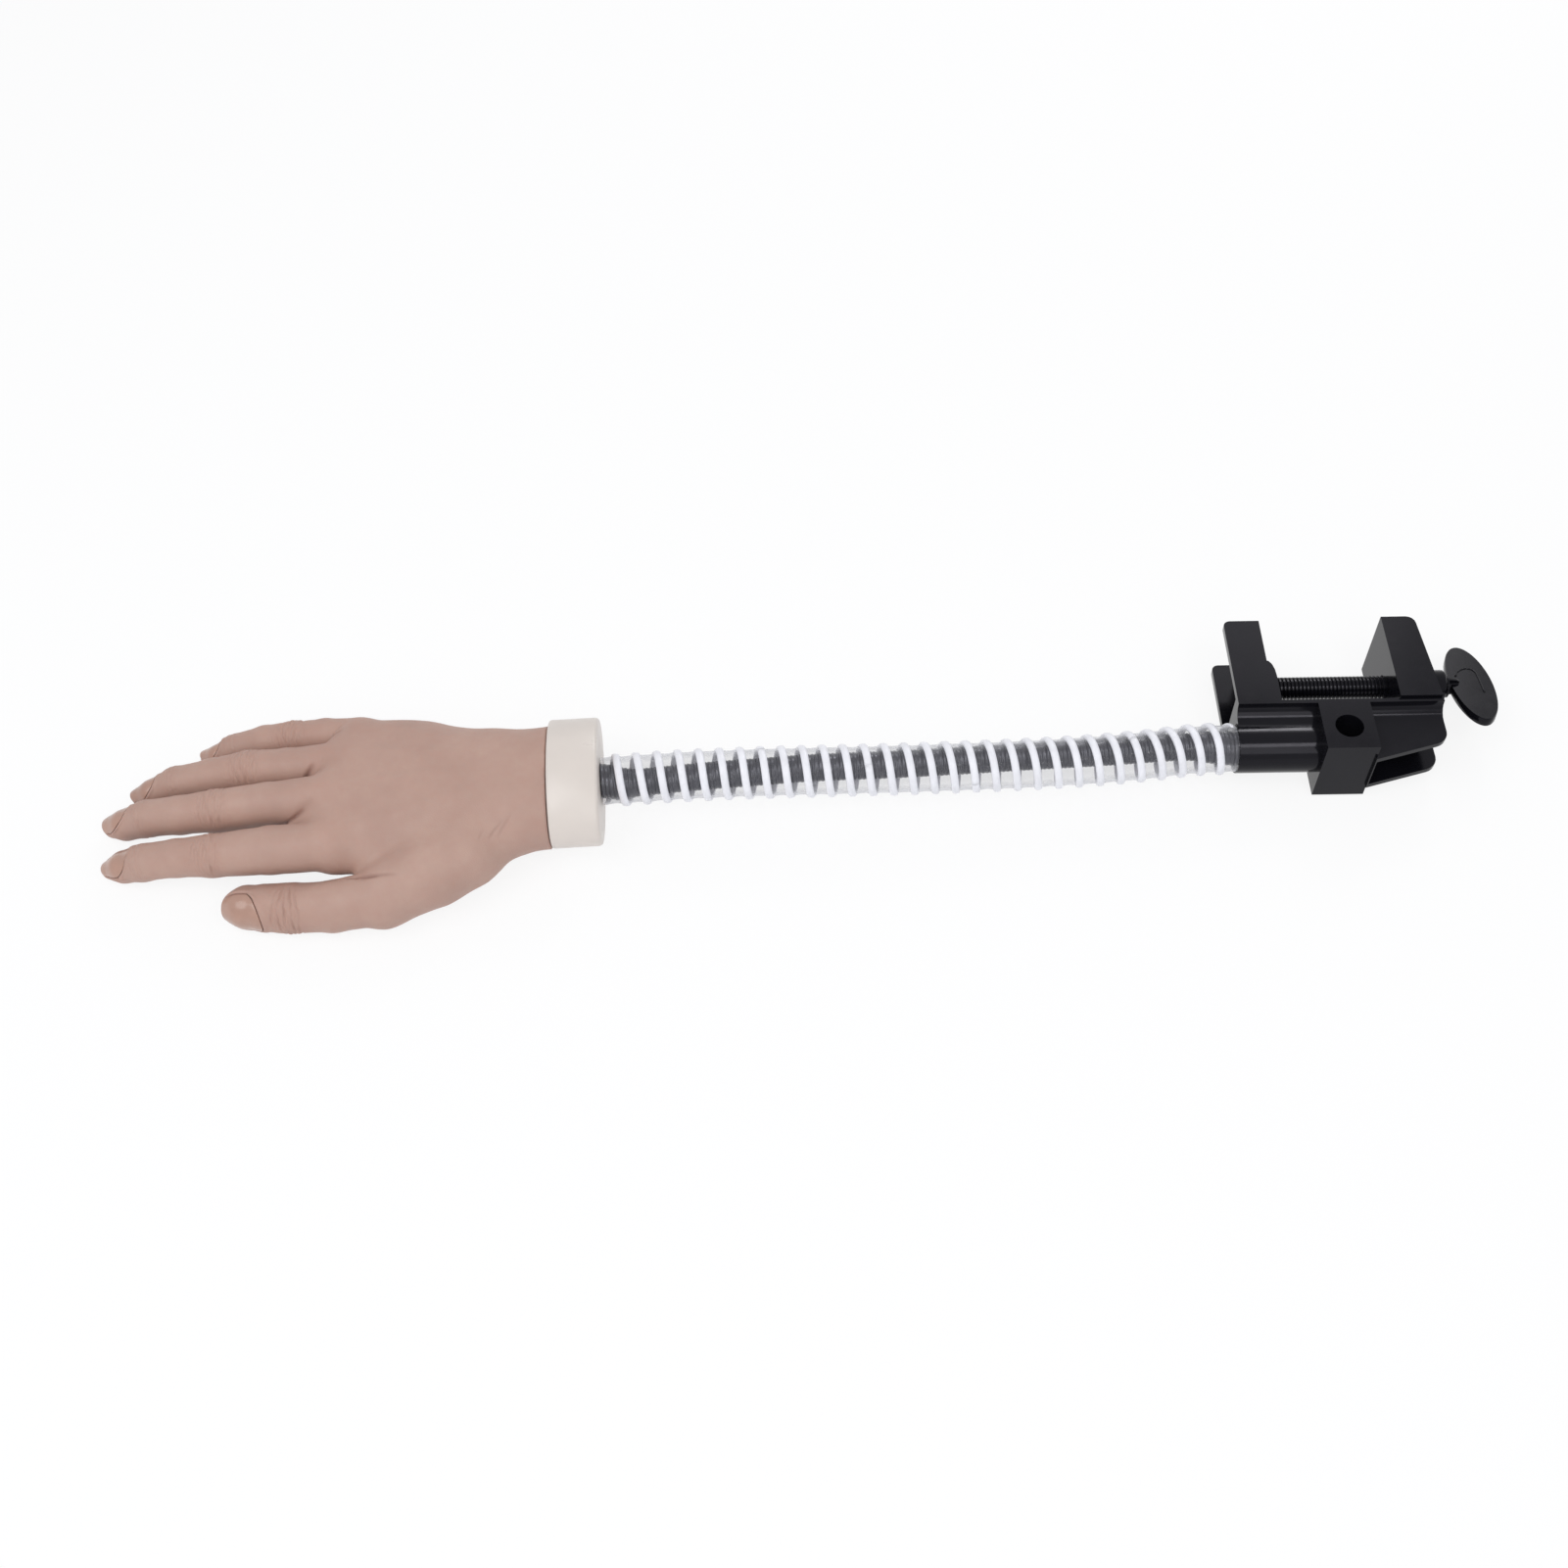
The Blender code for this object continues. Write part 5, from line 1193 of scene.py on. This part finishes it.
def make_collar():
    """Ivory oval collar with rounded rims and the spigot inside the hand."""
    start = HOSE_START + Vector((-HOSE_SPAN, -HOSE_DROP, HOSE_LIFT))
    stations = [(0.3 * MM, COLLAR_BORE, 0.0)]
    stations += [(along * MM, None, inset * MM) for inset, along in COLLAR_RIMS]
    stations += [(COLLAR_LENGTH, None, SPIGOT_STEP),
                 (COLLAR_LENGTH + SPIGOT_LENGTH, None, SPIGOT_STEP + SPIGOT_TAPER),
                 (COLLAR_LENGTH + SPIGOT_LENGTH, COLLAR_BORE, 0.0), (0.3 * MM, COLLAR_BORE, 0.0)]
    sides = 120
    rings = []
    for along, radius, inset in stations:
        breadth = radius or COLLAR_HALF_BREADTH - inset
        height = radius or COLLAR_HALF_HEIGHT - inset
        rings.append([start + along * AHEAD + breadth * math.cos(math.tau * k / sides) * THUMB_SIDE
                      + Vector((0, 0, height * math.sin(math.tau * k / sides))) for k in range(sides)])
    made = rings_piece("collar", rings, IVORY, capped=False)
    keep_sharp(made, 40.0)
    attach(made, "hand")
    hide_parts("wrist_collar")


# Clamp

def screw_ring(x, reaches):
    """Points round the screw's axis, with a reach for each."""
    step = math.tau / len(reaches)
    return [(x, SCREW_AXIS + reach * math.cos(step * k), reach * math.sin(step * k))
            for k, reach in enumerate(reaches)]


def make_screw():
    """Journal, clip groove, thread, plain shank and drive pin, turned round the screw's axis."""
    stations = []
    bottom = JOURNAL_RADIUS - MM
    low, high = CLIP_GROOVE
    for x, radius in ((JOURNAL_START, 0.6 * JOURNAL_RADIUS), (JOURNAL_START + 0.5 * MM, JOURNAL_RADIUS),
                      (low, JOURNAL_RADIUS), (low, bottom), (high, bottom), (high, JOURNAL_RADIUS),
                      (THREAD_START, JOURNAL_RADIUS)):
        stations.append((x, radius, 0.0))
    steps = int((THREAD_END - THREAD_START) / (THREAD_PITCH / THREAD_STEPS))
    for i in range(steps + 1):
        stations.append((THREAD_START + (THREAD_END - THREAD_START) * i / steps, THREAD_RADIUS, THREAD_DEPTH))
    for x, radius in ((THREAD_END, SHANK_RADIUS), (SHANK_END, SHANK_RADIUS), (SHANK_END, PIN_RADIUS),
                      (PIN_END, PIN_RADIUS)):
        stations.append((x, radius, 0.0))
    sides = 36
    rings = []
    for x, radius, depth in stations:
        phases = [(x / THREAD_PITCH - k / sides) % 1.0 for k in range(sides)]
        flanks = [min(max((abs(phase - 0.5) - 0.27) / 0.15, 0.0), 1.0) for phase in phases]
        rings.append(screw_ring(x, [radius - depth * flank for flank in flanks]))
    made = rings_piece("screw", rings, BLACK)
    keep_sharp(made, 50.0)
    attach(made, "screw")
    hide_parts("clamp_screw")


def make_plate():
    """Oval thumb plate with a bevelled rim, its raised line, and the ribbed stem."""
    sides = 96
    place = Matrix.Translation((PLATE_CENTRE, SCREW_AXIS, 0)) @ Matrix.Rotation(-PLATE_TURN, 4, "X")
    heights = (1.0, 1.0, 0.72, -0.72, -1.0, -1.0)
    shrink = (0.8, 0.25, 0.0, 0.0, 0.25, 0.8)
    rings = []
    for height, inset in zip(heights, shrink):
        rings.append([place @ Vector(((PLATE_HALF_BREADTH - inset * MM) * math.cos(math.tau * k / sides),
                                      (PLATE_HALF_LENGTH - inset * MM) * math.sin(math.tau * k / sides),
                                      height * PLATE_HALF_THICKNESS)) for k in range(sides)])
    plate = rings_piece("plate", rings, BLACK)
    keep_sharp(plate, 30.0)
    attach(plate, "screw")
    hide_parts("thumb_plate")
    for face in (1.0, -1.0):
        line = [place @ Vector((x * MM, face * y * MM, face * PLATE_HALF_THICKNESS)) for x, y in PLATE_LINE]
        fine = []
        for i in range(len(line) - 1):
            fine += [line[i].lerp(line[i + 1], t / 3) for t in range(3)]
        name = "plate_line_top" if face > 0 else "plate_line_under"
        bead = tube_piece(name, fine + [line[-1]], PLATE_BEAD, 8, BLACK)
        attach(bead, "screw")
    make_stem()


def make_stem():
    """Stem between the hub and the plate: a flange and four ribs round a core."""
    x0 = SHANK_END + 0.3 * MM
    x1 = x0 + 1.4 * MM
    x2 = x0 + 6.4 * MM
    sides = 48
    rings = []
    for x, radius, ribbed in ((x0, 2.6, False), (x0, 4.9, False), (x0 + 0.3 * MM, 5.25, False),
                              (x1 - 0.2 * MM, 5.25, False), (x1, 5.0, False), (x1 + 0.05 * MM, 4.5, True),
                              (x2 - 1.6 * MM, 4.2, True), (x2, 3.4, True), (x2, 2.2, False)):
        reaches = []
        for k in range(sides):
            angle = math.tau * k / sides
            near = abs(((angle + math.pi / 4 + PLATE_TURN) % (math.pi / 2)) - math.pi / 4)
            between = ribbed and near > STEM_RIB_ANGLE
            reaches.append((STEM_CORE if between else radius) * MM)
        rings.append(screw_ring(x, reaches))
    stem = rings_piece("stem", rings, BLACK)
    keep_sharp(stem, 35.0)
    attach(stem, "screw")


def smooth_by_angle():
    """Modifier tree that joins the faces of a solid and shades it smooth up to an angle."""
    tree = bpy.data.node_groups.new("smooth_by_angle", "GeometryNodeTree")
    tree.interface.new_socket("Geometry", in_out="INPUT", socket_type="NodeSocketGeometry")
    tree.interface.new_socket("Geometry", in_out="OUTPUT", socket_type="NodeSocketGeometry")
    first, last = node(tree, "NodeGroupInput"), node(tree, "NodeGroupOutput")
    joined = node(tree, "GeometryNodeMergeByDistance")
    joined.inputs["Distance"].default_value = JOIN_DISTANCE
    angle = node(tree, "GeometryNodeInputMeshEdgeAngle")
    sharp = node(tree, "FunctionNodeCompare", data_type="FLOAT", operation="GREATER_THAN")
    sharp.inputs["B"].default_value = SMOOTH_ANGLE
    shaded = node(tree, "GeometryNodeSetMeshNormal")
    tree.links.new(first.outputs[0], joined.inputs["Geometry"])
    tree.links.new(joined.outputs[0], shaded.inputs["Mesh"])
    tree.links.new(angle.outputs["Unsigned Angle"], sharp.inputs["A"])
    tree.links.new(sharp.outputs[0], shaded.inputs["Edge Sharpness"])
    tree.links.new(shaded.outputs[0], last.inputs[0])
    return tree


def dress(name, finish, smooth=None):
    """Give a solid of the model its finish, and smooth its round parts."""
    solid = frame["nodes"][name]
    for slot in solid.material_slots:
        slot.material = finish
    if smooth:
        solid.modifiers.new("smooth", "NODES").node_group = smooth


def dress_solids():
    """Finishes of the solids that no piece replaces."""
    smooth = smooth_by_angle()
    for name in ("clamp_body", "moving_jaw"):
        dress(name, BLACK, smooth)
    for name in ("screw_clip", "clamp_ferrule"):
        dress(name, DARK_STEEL)
    for name in ("wrist_ferrule", "wrist_washer", "wrist_nut"):
        dress(name, STEEL)
    dress("palm_core", INNER)


# Stage, light and camera

def seen_rays(tree):
    """1 for rays from the camera, from glossy surfaces and through clear ones, otherwise 0."""
    path = node(tree, "ShaderNodeLightPath")
    total = path.outputs["Is Camera Ray"]
    for name in ("Is Glossy Ray", "Is Transmission Ray"):
        more = node(tree, "ShaderNodeMath", operation="MAXIMUM")
        tree.links.new(total, more.inputs[0])
        tree.links.new(path.outputs[name], more.inputs[1])
        total = more.outputs[0]
    return total


def white_world():
    """Plain and pale to camera, glossy and transmission rays, and a soft light for the rest."""
    world = bpy.data.worlds.new("studio")
    bpy.context.scene.world = world
    world.use_nodes = True
    tree = world.node_tree
    tree.nodes.clear()
    out = node(tree, "ShaderNodeOutputWorld")
    soft = node(tree, "ShaderNodeBackground")
    soft.inputs["Color"].default_value = (0.93, 0.95, 1.0, 1.0)
    soft.inputs["Strength"].default_value = WORLD_LIGHT
    white = node(tree, "ShaderNodeBackground")
    white.inputs["Strength"].default_value = 1.0
    mix = node(tree, "ShaderNodeMixShader")
    tree.links.new(seen_rays(tree), mix.inputs["Fac"])
    tree.links.new(soft.outputs[0], mix.inputs[1])
    tree.links.new(white.outputs[0], mix.inputs[2])
    tree.links.new(mix.outputs[0], out.inputs["Surface"])


def make_floor():
    """Pale floor that shows white and keeps a soft shadow of the object."""
    finish = bpy.data.materials.new("floor")
    corners = [(x * FLOOR_HALF_SIDE, y * FLOOR_HALF_SIDE, FLOOR_LEVEL)
               for x, y in ((-1, -1), (1, -1), (1, 1), (-1, 1))]
    floor = new_piece("floor", corners, [(0, 1, 2, 3)], finish)
    finish.use_nodes = True
    tree = finish.node_tree
    shader = tree.nodes["Principled BSDF"]
    shader.inputs["Base Color"].default_value = (0.96, 0.96, 0.97, 1.0)
    shader.inputs["Roughness"].default_value = 0.9
    shader.inputs["Specular IOR Level"].default_value = 0.0
    glow = node(tree, "ShaderNodeEmission")
    part = node(tree, "ShaderNodeMath", operation="MULTIPLY")
    tree.links.new(seen_rays(tree), part.inputs[0])
    part.inputs[1].default_value = FLOOR_SHARE
    mix = node(tree, "ShaderNodeMixShader")
    tree.links.new(part.outputs[0], mix.inputs["Fac"])
    tree.links.new(shader.outputs[0], mix.inputs[1])
    tree.links.new(glow.outputs[0], mix.inputs[2])
    tree.links.new(mix.outputs[0], tree.nodes["Material Output"].inputs["Surface"])


def make_lights():
    """Square soft boxes that each face a point."""
    for name, (place, target, size, watts) in LIGHTS.items():
        lamp = bpy.data.lights.new(name, "AREA")
        lamp.size = size
        lamp.energy = watts
        made = bpy.data.objects.new(name, lamp)
        made.location = place
        made.rotation_euler = (Vector(target) - Vector(place)).to_track_quat("-Z", "Y").to_euler()
        bpy.context.scene.collection.objects.link(made)


def make_camera():
    """The photograph's view."""
    lens = bpy.data.cameras.new("camera")
    lens.sensor_width = SENSOR
    lens.lens = FOCAL_PIXELS / PHOTO_SIDE * SENSOR
    lens.clip_start = 0.01
    camera = bpy.data.objects.new("camera", lens)
    turn = Matrix((CAMERA_RIGHT, [-c for c in CAMERA_DOWN], [-c for c in CAMERA_AHEAD])).transposed()
    camera.matrix_world = Matrix.Translation(CAMERA_PLACE) @ turn.to_4x4()
    bpy.context.scene.collection.objects.link(camera)
    bpy.context.scene.camera = camera


def main():
    """Build every piece, dress the solids, and set the stage."""
    make_camera()
    cut_skin(*sculpt_skin())
    for name in NAILS:
        make_nail(name)
    make_wires()
    for segment in hose_segments():
        make_sleeve(*segment)
        make_rib(*segment)
        make_core(*segment)
    make_collar()
    make_screw()
    make_plate()
    dress_solids()
    white_world()
    make_floor()
    make_lights()
    bpy.context.scene.view_settings.view_transform = "Standard"


main()
bpy.context.view_layer.update()
